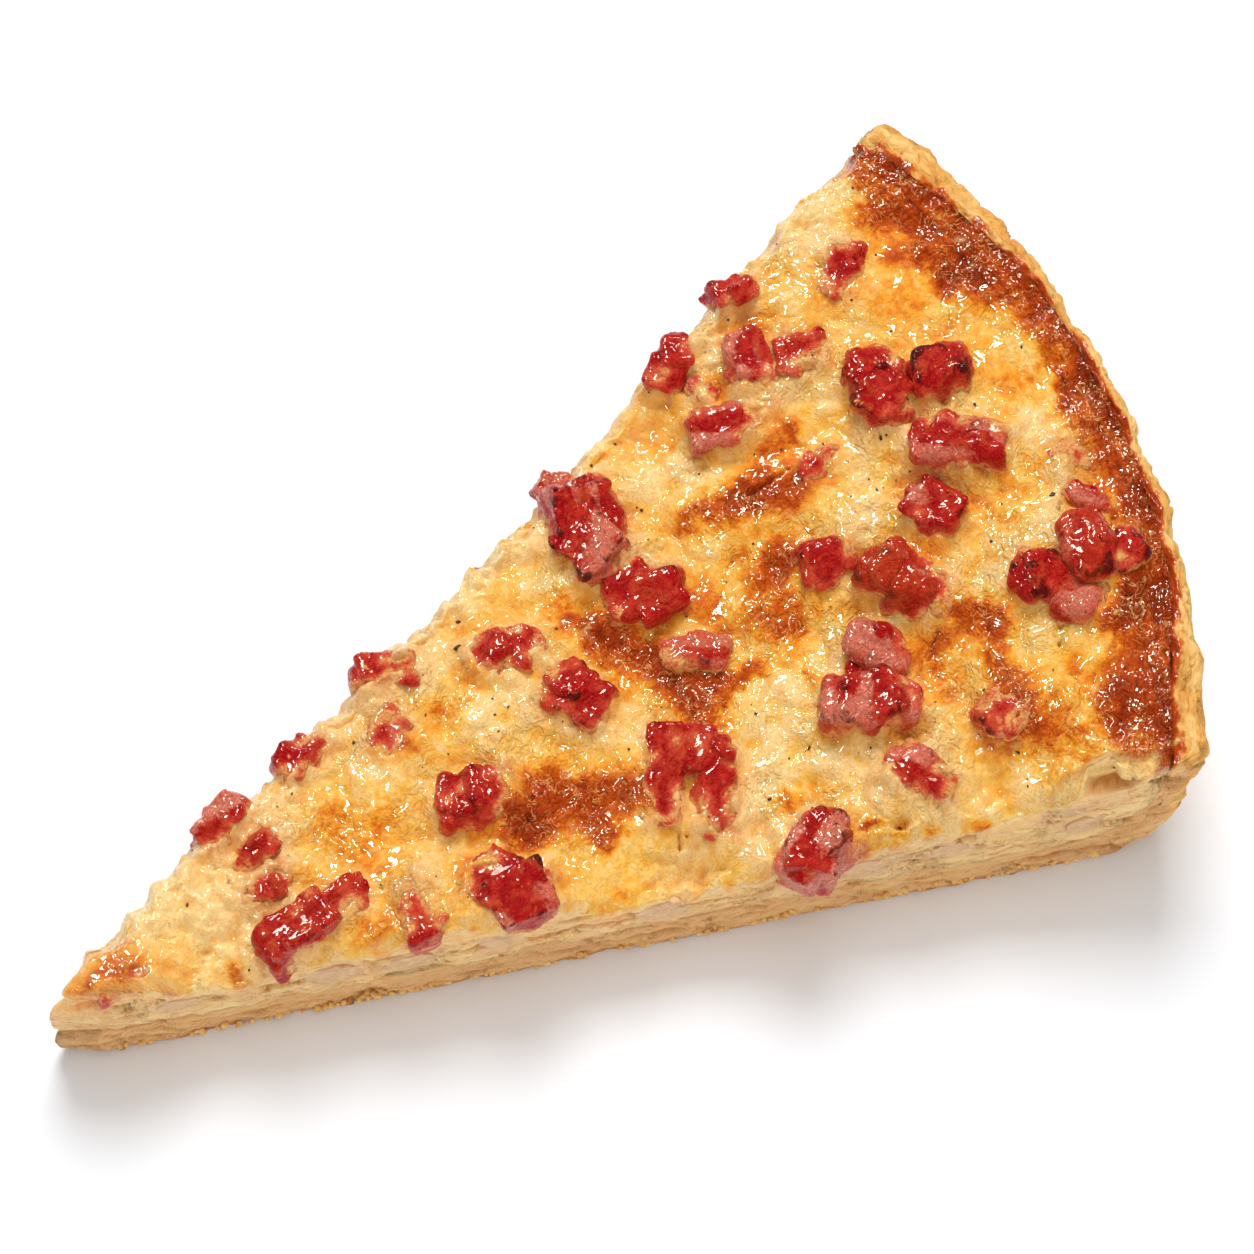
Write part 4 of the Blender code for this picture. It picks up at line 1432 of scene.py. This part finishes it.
def ham_tints(points, share, level, distance):
    """How much ham shows through each cut, and the points drawn in over the near one's."""
    ham = solids_tree([f"ham_{number}" for number in range(1, HAM_COUNT + 1)])
    near = (share < -0.999) & (level < 0.999)
    far = (share > 0.999) & (level < 0.999)
    height = points[far, 2]
    around = signed_gap(ham, points[near] + APEX, 1.2 * MM)
    sunk = 0.12 * MM * step((0.45 * MM - around) / (0.5 * MM))
    points[near] += sunk[:, None] * inward(-1.0)
    tinted = np.zeros(len(points))
    tinted[near] = 0.6 * step((1.1 * MM - around) / (1.0 * MM))
    ragged = 1.0 + 0.3 * lumps(points[far], 2.5, 73)
    for where, rise, half_length, half_height in FAR_HAM_TINTS:
        sideways = (distance[far] / MM - where) / half_length
        upwards = (height / MM - rise) / half_height
        tinted[far] = np.maximum(tinted[far], step(1.6 - ragged * np.hypot(sideways, upwards)))
    return tinted


def custard_mesh(sizes):
    spacing = sizes.custard_spacing
    length = float(custard_edge(0.0) - tip_distance(0.0))
    stations = int(length / spacing)
    across_counts = []
    under_counts = []
    for station in range(stations + 1):
        reach = tip_distance(0.0) + length * station / stations
        across_counts.append(max(LEAST_POINTS, int(2.0 * HALF_ANGLE * reach / spacing)))
        under_counts.append(2 if reach < base_corner(0.0) else CUSTARD_UNDER_POINTS)
    under_counts[0] = across_counts[0]
    places, faces = wedge_skin(under_counts, across_counts, CUSTARD_LEVELS)
    share, level = places[:, 1], places[:, 2]
    angle = HALF_ANGLE * share
    tip = tip_distance(share) + TIP_SETBACK
    edge = custard_edge(share)
    distance = tip + places[:, 0] / stations * (edge - tip)
    gap = edge - distance
    along = distance * np.cos(angle)
    across = distance * np.sin(angle)
    top = custard_top(along, across, share, gap, sizes)

    # Its underside rests on the base and follows the wall's inside.
    knots = inside_wall(share)
    floor = interface(distance, np.sign(share))
    under = floor.copy()
    for (start, low), (end, high) in zip(knots, knots[1:]):
        part = np.clip((distance - start) / np.maximum(end - start, 1e-6), 0.0, 1.0)
        rise = np.maximum(low, floor) + (high - np.maximum(low, floor)) * part
        under = np.where(distance > start, np.maximum(rise, floor), under)
    under = np.minimum(under, top.height - 0.6 * MM)
    height = under + level * (top.height - under)
    points = flat_points(along, across, height)

    # The browned skin hangs over the cuts' top edges as a drip and a lip.
    below = top.height - height
    drip = 0.9 * MM * (1.0 + 0.8 * lumps(points, 3.0, 74) + 0.5 * lumps(points, 1.2, 76))
    cut = step((below - drip + 0.4 * MM) / (0.9 * MM))
    overhang = 1.0 * MM * (1.0 + 0.7 * lumps(points, 4.0, 77))
    lip = step(1.0 - (below - overhang) / (2.0 * MM))
    edges = {}
    for side in SIDES:
        at_edge = (share == side) & (level == 1.0)
        order = np.argsort(distance[at_edge])
        edges[side] = (distance[at_edge][order], height[at_edge][order])
    roughness = sizes.cut_roughness * (1.0 - 0.75 * lip)
    hollow = recessed(points, distance, angle, roughness, below, edges)

    nose = step(1.0 - (distance - tip) / (1.6 * MM))
    bumpy = lumps(points, 1.6, 71) * 0.25 * MM + lumps(points, 0.7, 72) * 0.12 * MM
    seam = np.exp(-((height - floor) / (0.6 * MM)) ** 2)
    shoulder = step(1.0 - below / (3.0 * MM)) ** 2
    belly = np.sin(np.pi * level)
    points[:, 0] += nose * (bumpy + 1.0 * MM * seam + 1.6 * MM * shoulder - 0.5 * MM * belly)
    tinted = ham_tints(points, share, level, distance)

    mesh = closed_mesh("custard", points + APEX, faces)
    set_masks(
        mesh,
        browning=top.browning,
        pale=top.pale,
        stain=top.stain,
        film=top.film,
        lip=lip,
        gap=gap,
        arc=rim_arc(along, across),
        rim=step(1.0 - (gap - 2.0 * MM) / (7.0 * MM)),
        cut=cut,
        hollow=hollow,
        ham_tint=tinted,
    )
    return mesh


def smooth_between(knots, place):
    """Follows the knots' values by a smooth curve: place counts knots."""
    first = np.clip(np.floor(place).astype(int), 0, len(knots) - 2)
    part = place - first
    stack = np.stack(knots)
    rows = np.arange(len(place))
    before = stack[np.where(first > 1, first - 1, first), rows]
    start = stack[first, rows]
    end = stack[first + 1, rows]
    after = stack[np.minimum(first + 2, len(knots) - 1), rows]
    curve = 0.5 * (
        2.0 * start
        + (end - before) * part
        + (2.0 * before - 5.0 * start + 4.0 * end - after) * part ** 2
        + (3.0 * start - before - 3.0 * end + after) * part ** 3
    )
    straight = start + (end - start) * part
    return np.where(first < 1, straight, curve)


def inner_knots(share, tip, tall):
    """Where the shell's inner side runs: its top, from the point to the back of the lip."""
    line = [(base_corner(share), BASE_THICKNESS + 0.0 * share), *inside_wall(share)[1:]]
    line.append((lip_distance(share) - rim_width(share), tall - 0.8 * MM))
    steps = np.linspace(0.0, 1.0, len(line))
    knots = [(tip, BASE_THICKNESS + 0.0 * share)]
    for at in INSIDE_SHARES:
        index = min(int(at * (len(line) - 1)), len(line) - 2)
        part = (at - steps[index]) / (steps[index + 1] - steps[index])
        knots.append(tuple(a + (b - a) * part for a, b in zip(line[index], line[index + 1])))
    return knots


def crust_push(spots, on_rim, corner_gap):
    """How far the crust's flakes, cracks and crumbs stand out, or in where negative."""
    split = step((ridges(spots, (7.0, 1.6, 1.6), 85) - 0.80) / 0.18)
    push = 0.30 * MM * lumps(spots, 4.0, 84) + 0.24 * MM * lumps(spots, (7.0, 1.4, 1.3), 82)
    push += 0.13 * MM * lumps(spots, (3.2, 0.6, 0.55), 83) - 0.28 * MM * split
    torn = step(1.0 - corner_gap / (5.0 * MM))
    crumbs = granules(spots, (1.7, 1.3, 1.3), 24)
    push += torn * MM * (0.95 * crumbs - 0.60 + 0.3 * lumps(spots, 2.6, 25))
    rough = 0.30 * lumps(spots, (2.6, 1.5, 1.5), 26) + 0.22 * lumps(spots, 1.0, 27)
    rough -= 0.5 * step((ridges(spots, (3.4, 2.2, 2.2), 28) - 0.82) / 0.16)
    return np.minimum(push + MM * on_rim * rough - 0.15 * MM, 0.30 * MM)


def pastry_mesh(sizes):
    spacing = sizes.pastry_spacing
    base_rows = int(float(base_corner(0.0) - tip_distance(0.0)) / spacing)
    rim_count = int(2.0 * HALF_ANGLE * float(rim_reach(0.0)) / spacing)
    knot_count = len(WALL_OUTSIDE) + 1
    base_places = np.linspace(0.0, 1.0, base_rows, endpoint=False)
    wall_places = np.linspace(1.0, knot_count, int(WALL_RUN / spacing) + 1)
    knot_places = np.concatenate((base_places, wall_places))
    under_counts = [2 if place < 1.0 else rim_count for place in knot_places]
    upper_counts = [2 if place < 1.0 else PASTRY_HIDDEN_POINTS for place in knot_places]
    for index, place in enumerate(knot_places):
        if place > knot_count - 1.5:
            upper_counts[index] = rim_count
    under_counts[0] = upper_counts[0] = PASTRY_TIP_POINTS
    places, faces = wedge_skin(under_counts, upper_counts, PASTRY_LEVELS)
    place = knot_places[places[:, 0].astype(int)]
    share, level = places[:, 1], places[:, 2]
    angle = HALF_ANGLE * share
    reach = rim_reach(angle)
    corner_gap = (1.0 - np.abs(share)) * HALF_ANGLE * reach
    rounded = np.clip(1.0 - corner_gap / CORNER_ROUNDING, 0.0, 1.0)
    lip = lip_distance(share) - CORNER_ROUNDING * (1.0 - np.sqrt(1.0 - 0.96 * rounded ** 2))
    tall = rim_height(share) - 0.5 * MM * rounded ** 2
    tip = tip_distance(share)

    outer = [(tip + TIP_FOOT * 0.5, 0.0 * share), (lip - WALL_FOOT, 0.0 * share)]
    outer += [(lip - inset * MM, tall * rise) for inset, rise in WALL_OUTSIDE]
    inner = inner_knots(share, tip, tall)
    outer_distance, outer_height = (smooth_between(knots, place) for knots in zip(*outer))
    inner_distance, inner_height = (smooth_between(knots, place) for knots in zip(*inner))
    distance = outer_distance + level * (inner_distance - outer_distance)
    height = outer_height + level * (inner_height - outer_height)
    crest = np.sin(np.pi * np.clip(level, 0.0, 1.0)) ** 0.6
    on_rim = np.clip(place - (knot_count - 1), 0.0, 1.0)
    height += 0.85 * MM * crest * on_rim
    in_base = place < 1.0
    lifted = interface(distance, np.sign(share)) - 0.05 * MM
    height = np.where(in_base, height * lifted / BASE_THICKNESS, height)
    points = flat_points(distance * np.cos(angle), distance * np.sin(angle), height)
    rough = np.full(len(points), sizes.cut_roughness)
    hollow = recessed(points, distance, angle, rough)

    # The point's nose and the outside of the wall, worked over with flakes and cracks.
    nose = step(1.0 - (distance - tip) / (2.0 * MM))
    round_off = np.abs(2.0 * np.clip(height / BASE_THICKNESS, 0.0, 1.0) - 1.0) ** 3
    blunt = 1.5 * MM * round_off - 0.6 * MM + 0.35 * MM * lumps(points, 1.8, 81)
    points[:, 0] += nose * blunt
    outside = step((distance - (lip - 8.0 * MM)) / (2.0 * MM))
    outside = outside * step((height - 0.3 * MM) / (1.5 * MM))
    arc = angle * reach
    spots = flat_points(arc, distance, height)
    push = crust_push(spots, on_rim, corner_gap)
    normal_out = flat_points(np.cos(angle), np.sin(angle))
    free = outside * (1.0 - step((level - 0.5) * 2.0) * (1.0 - on_rim))
    free = free * (1.0 - on_rim * np.clip(level * 1.4, 0.0, 1.0))
    points += normal_out * (push * free)[:, None]
    points[:, 2] += push * on_rim * np.clip(level * 3.0, 0.0, 1.0)

    # The bottom edge is crumbly along the cuts.
    low = step(1.0 - height / (1.2 * MM)) * (1.0 - outside)
    at_cut = step(np.abs(share) * 40.0 - 39.0)
    nibbled = 0.30 * MM * step(lumps(points, 1.4, 86) * 1.5)
    points[:, 2] = np.maximum(points[:, 2] + low * at_cut * nibbled, 0.0)

    cut = np.where((np.abs(share) > 0.9999) | (in_base & (places[:, 0] < 0.5)), 1.0, 0.0)
    cut = cut * (1.0 - 0.9 * step((place - (knot_count - 0.7)) / 0.4))
    above_floor = height - 0.25 * MM - 0.35 * MM * lumps(points, 1.5, 87)
    floor_brown = 0.6 * step(1.0 - above_floor / (0.9 * MM))
    toasted = 0.45 * step(lumps(spots, (9.0, 3.0, 3.0), 88) + 0.2) * outside
    uneven = 0.22 * lumps(spots, (5.0, 0.9, 0.9), 89) + 0.14 * lumps(spots, 4.0, 90)
    uneven += 0.22 * lumps(spots, 1.5, 29) + 0.12 * lumps(spots, 0.7, 30)
    start = 0.46 + 0.20 * step((np.abs(share + 0.1) - 0.35) * 2.2)

    mesh = closed_mesh("pastry", points + APEX, faces)
    set_masks(
        mesh,
        arc=arc,
        drop=height + lip - distance,
        cut=cut,
        baked=np.clip(np.maximum(floor_brown, toasted), 0.0, 1.0),
        scorched=on_rim * step((level - start + uneven) * 3.4),
        hollow=hollow,
    )
    return mesh


def own_axes(points):
    """Rows of length, width and up for a loose block of points, and its middle."""
    middle = points.mean(axis=0)
    _, vectors = np.linalg.eigh(np.cov((points - middle).T))
    long_axis = vectors[:, 2]
    upright = np.array((0.0, 0.0, 1.0)) - long_axis * long_axis[2]
    upright /= np.linalg.norm(upright)
    return np.stack((long_axis, np.cross(upright, long_axis), upright)), middle


def add_chunks(mesh, seed, count):
    """Joins a few tilted chunks to a lardon's block, as bacon breaks when it is diced."""
    draw = np.random.default_rng(seed)
    axes, middle = own_axes(mesh_points(mesh))
    local = (mesh_points(mesh) - middle) @ axes.T
    half = np.ptp(local, axis=0) / 2.0
    shape = bmesh.new()
    shape.from_mesh(mesh)
    for index in range(count):
        part = (index + 0.5) / count * 2.0 - 1.0
        offset = half * (0.62 * part, draw.uniform(-0.32, 0.32), draw.uniform(0.0, 0.24))
        turn = Euler([draw.uniform(-most, most) for most in (0.3, 0.3, 0.6)])
        length = draw.uniform(0.8, 1.3) / count
        size = half * (length, draw.uniform(0.6, 0.95), draw.uniform(0.7, 0.95))
        size = np.maximum(size, 0.6 * MM)
        cube = bmesh.ops.create_cube(shape, size=2.0)["verts"]
        for vertex in cube:
            spot = turn.to_matrix() @ Vector(np.array(vertex.co) * size)
            vertex.co = Vector((np.array(spot) + offset) @ axes + middle)
    shape.to_mesh(mesh)
    shape.free()


def add_bridge(mesh, bridge):
    """Joins one more block to a lardon: its middle in the wedge, its sides, and its turn."""
    place, sides, turn = bridge
    shape = bmesh.new()
    shape.from_mesh(mesh)
    rotation = Euler((0.06, 0.04, radians(turn))).to_matrix()
    for vertex in bmesh.ops.create_cube(shape, size=1.0)["verts"]:
        vertex.co = rotation @ Vector(np.array(vertex.co) * sides * MM)
        vertex.co += Vector(np.array(place) * MM + APEX)
    shape.to_mesh(mesh)
    shape.free()


def fine_copy(node, name, spacing, chunks=0, seed=0):
    """The solid's mesh remade with even fine faces, with chunks added if asked."""
    helper = bpy.data.objects.new(name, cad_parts[node].data.copy())
    if chunks:
        add_chunks(helper.data, seed, chunks)
    if node in BRIDGES:
        add_bridge(helper.data, BRIDGES[node])
    bpy.context.scene.collection.objects.link(helper)
    remesh = helper.modifiers.new("Remesh", "REMESH")
    remesh.mode = "VOXEL"
    remesh.voxel_size = spacing
    remesh.use_smooth_shade = True
    graph = bpy.context.evaluated_depsgraph_get()
    mesh = bpy.data.meshes.new_from_object(helper.evaluated_get(graph), depsgraph=graph)
    bpy.data.objects.remove(helper)
    mesh.name = name
    mesh.materials.clear()
    for attribute in list(mesh.attributes):
        if not attribute.is_internal and not attribute.is_required:
            mesh.attributes.remove(attribute)
    mesh.shade_smooth()
    return mesh


def relaxed(mesh, points, rounds):
    for _ in range(rounds):
        points = points + 0.5 * (neighbour_mean(mesh, points) - points)
    return points


def lardon_mesh(number, sizes, custard):
    """One lardon, torn and fried: custard is the search tree of what it lies in."""
    name = f"bacon_{number:02d}"
    look = BACON_LOOKS.get(number, USUAL_BACON)
    chunks = 0 if look.toast > 0.5 else 2
    mesh = fine_copy(f"lardon_{number:02d}", name, sizes.lardon_spacing, chunks, 200 + number)
    points = relaxed(mesh, mesh_points(mesh), 1) + np.array((*look.shift, 0.0)) * MM
    axes, middle = own_axes(points)
    local = (points - middle) @ axes.T + number * 0.05
    warp = np.stack([lumps(local, 3.4, seed) for seed in (111, 112, 113)], axis=-1)
    points = points + (0.55 * MM * warp * (1.0, 1.0, 0.6)) @ axes
    set_points(mesh, points)
    normals = mesh_normals(mesh)

    chewed = step(-lumps(local, 2.3, 91) * 2.0 - 0.45)
    push = 0.26 * MM + 0.21 * MM * lumps(local, 1.7, 92) + 0.12 * MM * lumps(local, 0.85, 93)
    push += 0.06 * MM * lumps(local, (2.4, 0.5, 0.5), 94)
    push -= 0.28 * MM * chewed
    upper = step((normals[:, 2] + 0.1) / 0.7)
    push += 0.15 * MM * upper * ridges(local, 0.95, 95)
    points = points + normals * (push + look.grow * MM)[:, None] * (1.0, 1.0, 0.5)
    set_points(mesh, points)
    normals = mesh_normals(mesh)
    smoothed = relaxed(mesh, points, 6)
    bulge = ((points - smoothed) * normals).sum(axis=1) / MM
    high = (points[:, 2] - points[:, 2].min()) / np.ptp(points[:, 2])
    edge = step((bulge - 0.05) / 0.09)
    char = edge * step((high - 0.5) / 0.3) * (0.5 + 0.9 * look.char)
    char *= step(lumps(local, 2.0, 96) * 1.4 + look.char)
    scorched = 0.8 * step((lumps(local, 3.0, 97) + 0.8 * look.char - 1.0) * 3.0)
    char = np.maximum(char, scorched * step((high - 0.6) / 0.3))
    bands = lumps(local, (7.0, 2.2, 2.2), 98)
    side = 1.0 - step((normals[:, 2] - 0.15) / 0.5)
    pink = look.pink - 0.14 + 0.85 * bands + 0.12 * side * step(1.1 - high)
    above = signed_gap(custard, points, 2.0 * MM)
    sunk = step(1.0 - above / (1.5 * MM) + 0.35 * lumps(local, 1.8, 100))
    toast = look.toast * step(0.8 + lumps(local, 2.0, 99))
    masks = {"pink": pink, "char": char, "sunk": sunk, "toast": toast}
    set_masks(mesh, **{name: np.clip(mask, 0.0, 1.0) for name, mask in masks.items()})
    return mesh


def ham_mesh(number):
    mesh = fine_copy(f"ham_{number}", f"ham_chunk_{number}", HAM_SPACING)
    points = relaxed(mesh, mesh_points(mesh), 3)
    set_points(mesh, points)
    push = 0.20 * MM * lumps(points, 1.6, 101) + 0.12 * MM * lumps(points, (1.4, 1.4, 0.4), 102)
    push = mesh_normals(mesh) * (push - 0.03 * MM)[:, None]
    set_points(mesh, points + push + 0.20 * MM * inward(-1.0))
    return mesh


def pebble_shape():
    shape = bmesh.new()
    bmesh.ops.create_icosphere(shape, subdivisions=PEBBLE_DETAIL, radius=1.0)
    points = np.array([vertex.co for vertex in shape.verts])
    faces = np.array([[vertex.index for vertex in face.verts] for face in shape.faces])
    shape.free()
    return points, faces


def scattered_mesh(name, places, sizes, seed, squash, roughness):
    """Many rough little pebbles as one mesh: places are their middles, sizes their radii."""
    draw = np.random.default_rng(seed)
    shape, faces = pebble_shape()
    points = []
    corners = []
    for index, (place, size) in enumerate(zip(places, sizes)):
        turn = np.array(Euler(draw.uniform(0.0, 6.28, 3)).to_matrix())
        stretch = np.array(squash) * draw.uniform(0.7, 1.3, 3)
        uneven = 1.0 + roughness * lumps((shape + 9.0 * index) * MM, 0.9, seed)
        points.append((shape * uneven[:, None] * stretch * size) @ turn.T + place)
        corners.append(faces + index * len(shape))
    return closed_mesh(name, np.concatenate(points), np.concatenate(corners))


def surface_tree(name):
    graph = bpy.context.evaluated_depsgraph_get()
    return BVHTree.FromObject(bpy.data.objects[name], graph)


def dropped(tree, along, across):
    """Where something dropped at this place in the plan lands, or None."""
    start = Vector((along + APEX[0], across + APEX[1], DROP_HEIGHT))
    place, _, _, _ = tree.ray_cast(start, Vector((0.0, 0.0, -1.0)))
    return place


def pepper_mesh(count):
    draw = np.random.default_rng(41)
    tree = surface_tree("custard")
    places = []
    sizes = []
    for along, across, size in BIG_PEPPER:
        landed = dropped(tree, along * MM, across * MM)
        if landed:
            places.append(np.array(landed))
            sizes.append(0.6 * size * MM)
    while len(places) < count:
        distance = 128.0 * MM * np.sqrt(draw.uniform(0.01, 1.0))
        angle = HALF_ANGLE * draw.uniform(-0.98, 0.98)
        size = draw.uniform(0.07, 0.20) * MM
        landed = dropped(tree, distance * np.cos(angle), distance * np.sin(angle))
        if landed:
            places.append(np.array(landed) + (0.0, 0.0, -0.2 * size))
            sizes.append(size)
    return scattered_mesh("pepper_flecks", places, sizes, 43, (1.0, 0.9, 0.6), 0.5)


def crumb_mesh(count):
    """Crumbs of pastry that cling to the base along both cuts and about the point."""
    draw = np.random.default_rng(61)
    places = []
    sizes = []
    for _ in range(count):
        side = -1.0 if draw.uniform() < 0.6 else 1.0
        distance = draw.uniform(9.0, 116.0) * MM
        size = draw.uniform(0.12, 0.42) * MM
        height = 1.4 * size + abs(draw.normal(0.0, 0.5)) * MM
        angle = side * HALF_ANGLE
        place = np.array((distance * np.cos(angle), distance * np.sin(angle), height))
        places.append(place + inward(side) * 0.22 * MM + APEX)
        sizes.append(size)
    return scattered_mesh("pastry_crumbs", places, sizes, 63, (1.1, 1.0, 0.8), 0.6)


# --- Operators ----------------------------------------------------------------


class QuicheOperator:
    """What every operator here shares."""

    bl_options = {"REGISTER", "UNDO"}

    def execute(self, context):
        self.build(context.scene.quiche_sizes, context.scene.quiche_colours)
        return {"FINISHED"}


class QUICHE_OT_custard(QuicheOperator, bpy.types.Operator):
    """Adds the custard: its uneven browned top and both cuts"""

    bl_idname = "quiche.custard"
    bl_label = "Custard filling"

    def build(self, sizes, colours):
        material = custard_material(colours)
        add_piece("custard", custard_mesh(sizes), material, "custard", "custard_filling")


class QUICHE_OT_pastry(QuicheOperator, bpy.types.Operator):
    """Adds the shortcrust shell: its base, wall and rim"""

    bl_idname = "quiche.pastry"
    bl_label = "Pastry shell"

    def build(self, sizes, colours):
        material = pastry_material(colours)
        add_piece("pastry", pastry_mesh(sizes), material, "pastry", "pastry_shell")


class QUICHE_OT_bacon(QuicheOperator, bpy.types.Operator):
    """Adds the bacon lardons, one piece each"""

    bl_idname = "quiche.bacon"
    bl_label = "Bacon lardons"

    def build(self, sizes, colours):
        material = bacon_material(colours)
        custard = surface_tree("custard")
        for number in range(1, LARDON_COUNT + 1):
            mesh = lardon_mesh(number, sizes, custard)
            add_piece(mesh.name, mesh, material, "bacon", f"lardon_{number:02d}")


class QUICHE_OT_ham(QuicheOperator, bpy.types.Operator):
    """Adds the pieces of ham that show at the near cut"""

    bl_idname = "quiche.ham"
    bl_label = "Ham pieces"

    def build(self, sizes, colours):
        material = ham_material(colours)
        for number in range(1, HAM_COUNT + 1):
            mesh = ham_mesh(number)
            add_piece(mesh.name, mesh, material, "ham", f"ham_{number}")


class QUICHE_OT_flecks(QuicheOperator, bpy.types.Operator):
    """Adds the pepper flecks and the pastry crumbs"""

    bl_idname = "quiche.flecks"
    bl_label = "Pepper and crumbs"

    def build(self, sizes, colours):
        pepper = fleck_material("pepper", tint(96, 62, 28), colours.pepper, 0.5)
        add_piece("pepper_flecks", pepper_mesh(sizes.pepper_count), pepper, "custard")
        crumb = fleck_material("crumb", colours.pastry_pale, colours.pastry_gold, 0.7)
        add_piece("pastry_crumbs", crumb_mesh(sizes.crumb_count), crumb, "pastry")


class Lamp(NamedTuple):
    """A square lamp: glint is whether it only shows as glints, share its part of the power."""

    name: str
    place: tuple
    side: float
    share: float
    glint: bool
    tone: tuple


WHITE = (1.0, 1.0, 1.0)
WARM = (1.0, 0.93, 0.80)
ROOM_BRIGHTNESS = 0.33
LENS = 135.0
SENSOR_WIDTH = 36.0
AIM = Vector((0.01054, 0.01054, 0.0))
CAMERA_HEADING = radians(-29.949)
LAMPS = (
    Lamp("key_light", (0.30, 0.52, 0.95), 0.50, 1.0, False, WHITE),
    Lamp("top_light", (0.10, 0.05, 1.15), 0.60, 0.28, False, WHITE),
    Lamp("front_light", (-0.40, -0.95, 0.50), 0.90, 0.48, False, WARM),
    Lamp("back_glint", (0.00, 0.66, 0.86), 0.20, 0.86, True, WARM),
    Lamp("left_glint", (-0.62, 0.36, 0.82), 0.17, 0.60, True, WARM),
    Lamp("right_glint", (0.80, 0.50, 0.72), 0.18, 0.36, True, WARM),
    Lamp("low_glint", (0.10, 1.05, 0.50), 0.20, 0.45, True, WARM),
)


def add_lamp(lamp, power):
    light = bpy.data.lights.new(lamp.name, "AREA")
    light.shape = "SQUARE"
    light.size = lamp.side
    light.energy = power * lamp.share
    light.color = lamp.tone
    holder = bpy.data.objects.new(lamp.name, light)
    holder.location = lamp.place
    holder.rotation_euler = (AIM - Vector(lamp.place)).to_track_quat("-Z", "Y").to_euler()
    holder.visible_glossy = lamp.glint
    holder.visible_diffuse = not lamp.glint
    bpy.context.scene.collection.objects.link(holder)


class QUICHE_OT_stage(bpy.types.Operator):
    """Adds the plain floor, the soft lights and the camera"""

    bl_idname = "quiche.stage"
    bl_label = "Floor, lights and camera"
    bl_options = {"REGISTER", "UNDO"}

    def execute(self, context):
        scene = context.scene
        settings = scene.quiche_stage
        half = settings.floor_size / 2.0
        corners = [(half * x, half * y, 0.0) for x, y in ((-1, -1), (1, -1), (1, 1), (-1, 1))]
        mesh = bpy.data.meshes.new("floor")
        mesh.from_pydata(corners, [], [(0, 1, 2, 3)])
        material = bpy.data.materials.new("pale_floor")
        material.use_nodes = True
        shader = material.node_tree.nodes["Principled BSDF"]
        shader.inputs["Base Color"].default_value = settings.floor_colour
        shader.inputs["Roughness"].default_value = 0.9
        shader.inputs["Specular IOR Level"].default_value = 0.1
        mesh.materials.append(material)
        floor = bpy.data.objects.new("floor", mesh)
        scene.collection.objects.link(floor)

        for lamp in LAMPS:
            add_lamp(lamp, settings.key_power)
        world = bpy.data.worlds.new("pale_room")
        world.use_nodes = True
        background = world.node_tree.nodes["Background"]
        background.inputs["Color"].default_value = (*WHITE, 1.0)
        background.inputs["Strength"].default_value = ROOM_BRIGHTNESS
        scene.world = world
        world.cycles_visibility.glossy = False
        scene.view_settings.view_transform = "Standard"

        lens = bpy.data.cameras.new("camera")
        lens.lens = LENS
        lens.sensor_width = SENSOR_WIDTH
        camera = bpy.data.objects.new("camera", lens)
        tilt = radians(90.0) - settings.camera_elevation
        camera.rotation_euler = (tilt, 0.0, CAMERA_HEADING)
        back = Euler(camera.rotation_euler).to_matrix() @ Vector((0.0, 0.0, 1.0))
        camera.location = AIM + settings.camera_distance * back
        scene.collection.objects.link(camera)
        scene.camera = camera
        return {"FINISHED"}


class QUICHE_PT_panel(bpy.types.Panel):
    """Lists the pieces of the slice in build order, with their settings."""

    bl_label = "Quiche lorraine slice"
    bl_idname = "QUICHE_PT_panel"
    bl_space_type = "VIEW_3D"
    bl_region_type = "UI"
    bl_category = "Quiche"

    def draw(self, context):
        for operator in BUILD_ORDER:
            self.layout.operator(operator.bl_idname)
        for group in ("quiche_sizes", "quiche_colours", "quiche_stage"):
            settings = getattr(context.scene, group)
            box = self.layout.box()
            for name in settings.bl_rna.properties.keys():
                if name not in ("rna_type", "name"):
                    box.prop(settings, name)


BUILD_ORDER = (
    QUICHE_OT_custard,
    QUICHE_OT_pastry,
    QUICHE_OT_bacon,
    QUICHE_OT_ham,
    QUICHE_OT_flecks,
    QUICHE_OT_stage,
)
SETTINGS = {
    "quiche_sizes": QuicheSizes,
    "quiche_colours": QuicheColours,
    "quiche_stage": StageSettings,
}
CLASSES = (*SETTINGS.values(), *BUILD_ORDER, QUICHE_PT_panel)


def register():
    for part in CLASSES:
        bpy.utils.register_class(part)
    for name, group in SETTINGS.items():
        setattr(bpy.types.Scene, name, PointerProperty(type=group))


def unregister():
    for name in SETTINGS:
        delattr(bpy.types.Scene, name)
    for part in reversed(CLASSES):
        bpy.utils.unregister_class(part)


def main():
    register()
    for operator in BUILD_ORDER:
        family, name = operator.bl_idname.split(".")
        getattr(getattr(bpy.ops, family), name)()


if __name__ == "__main__":
    main()
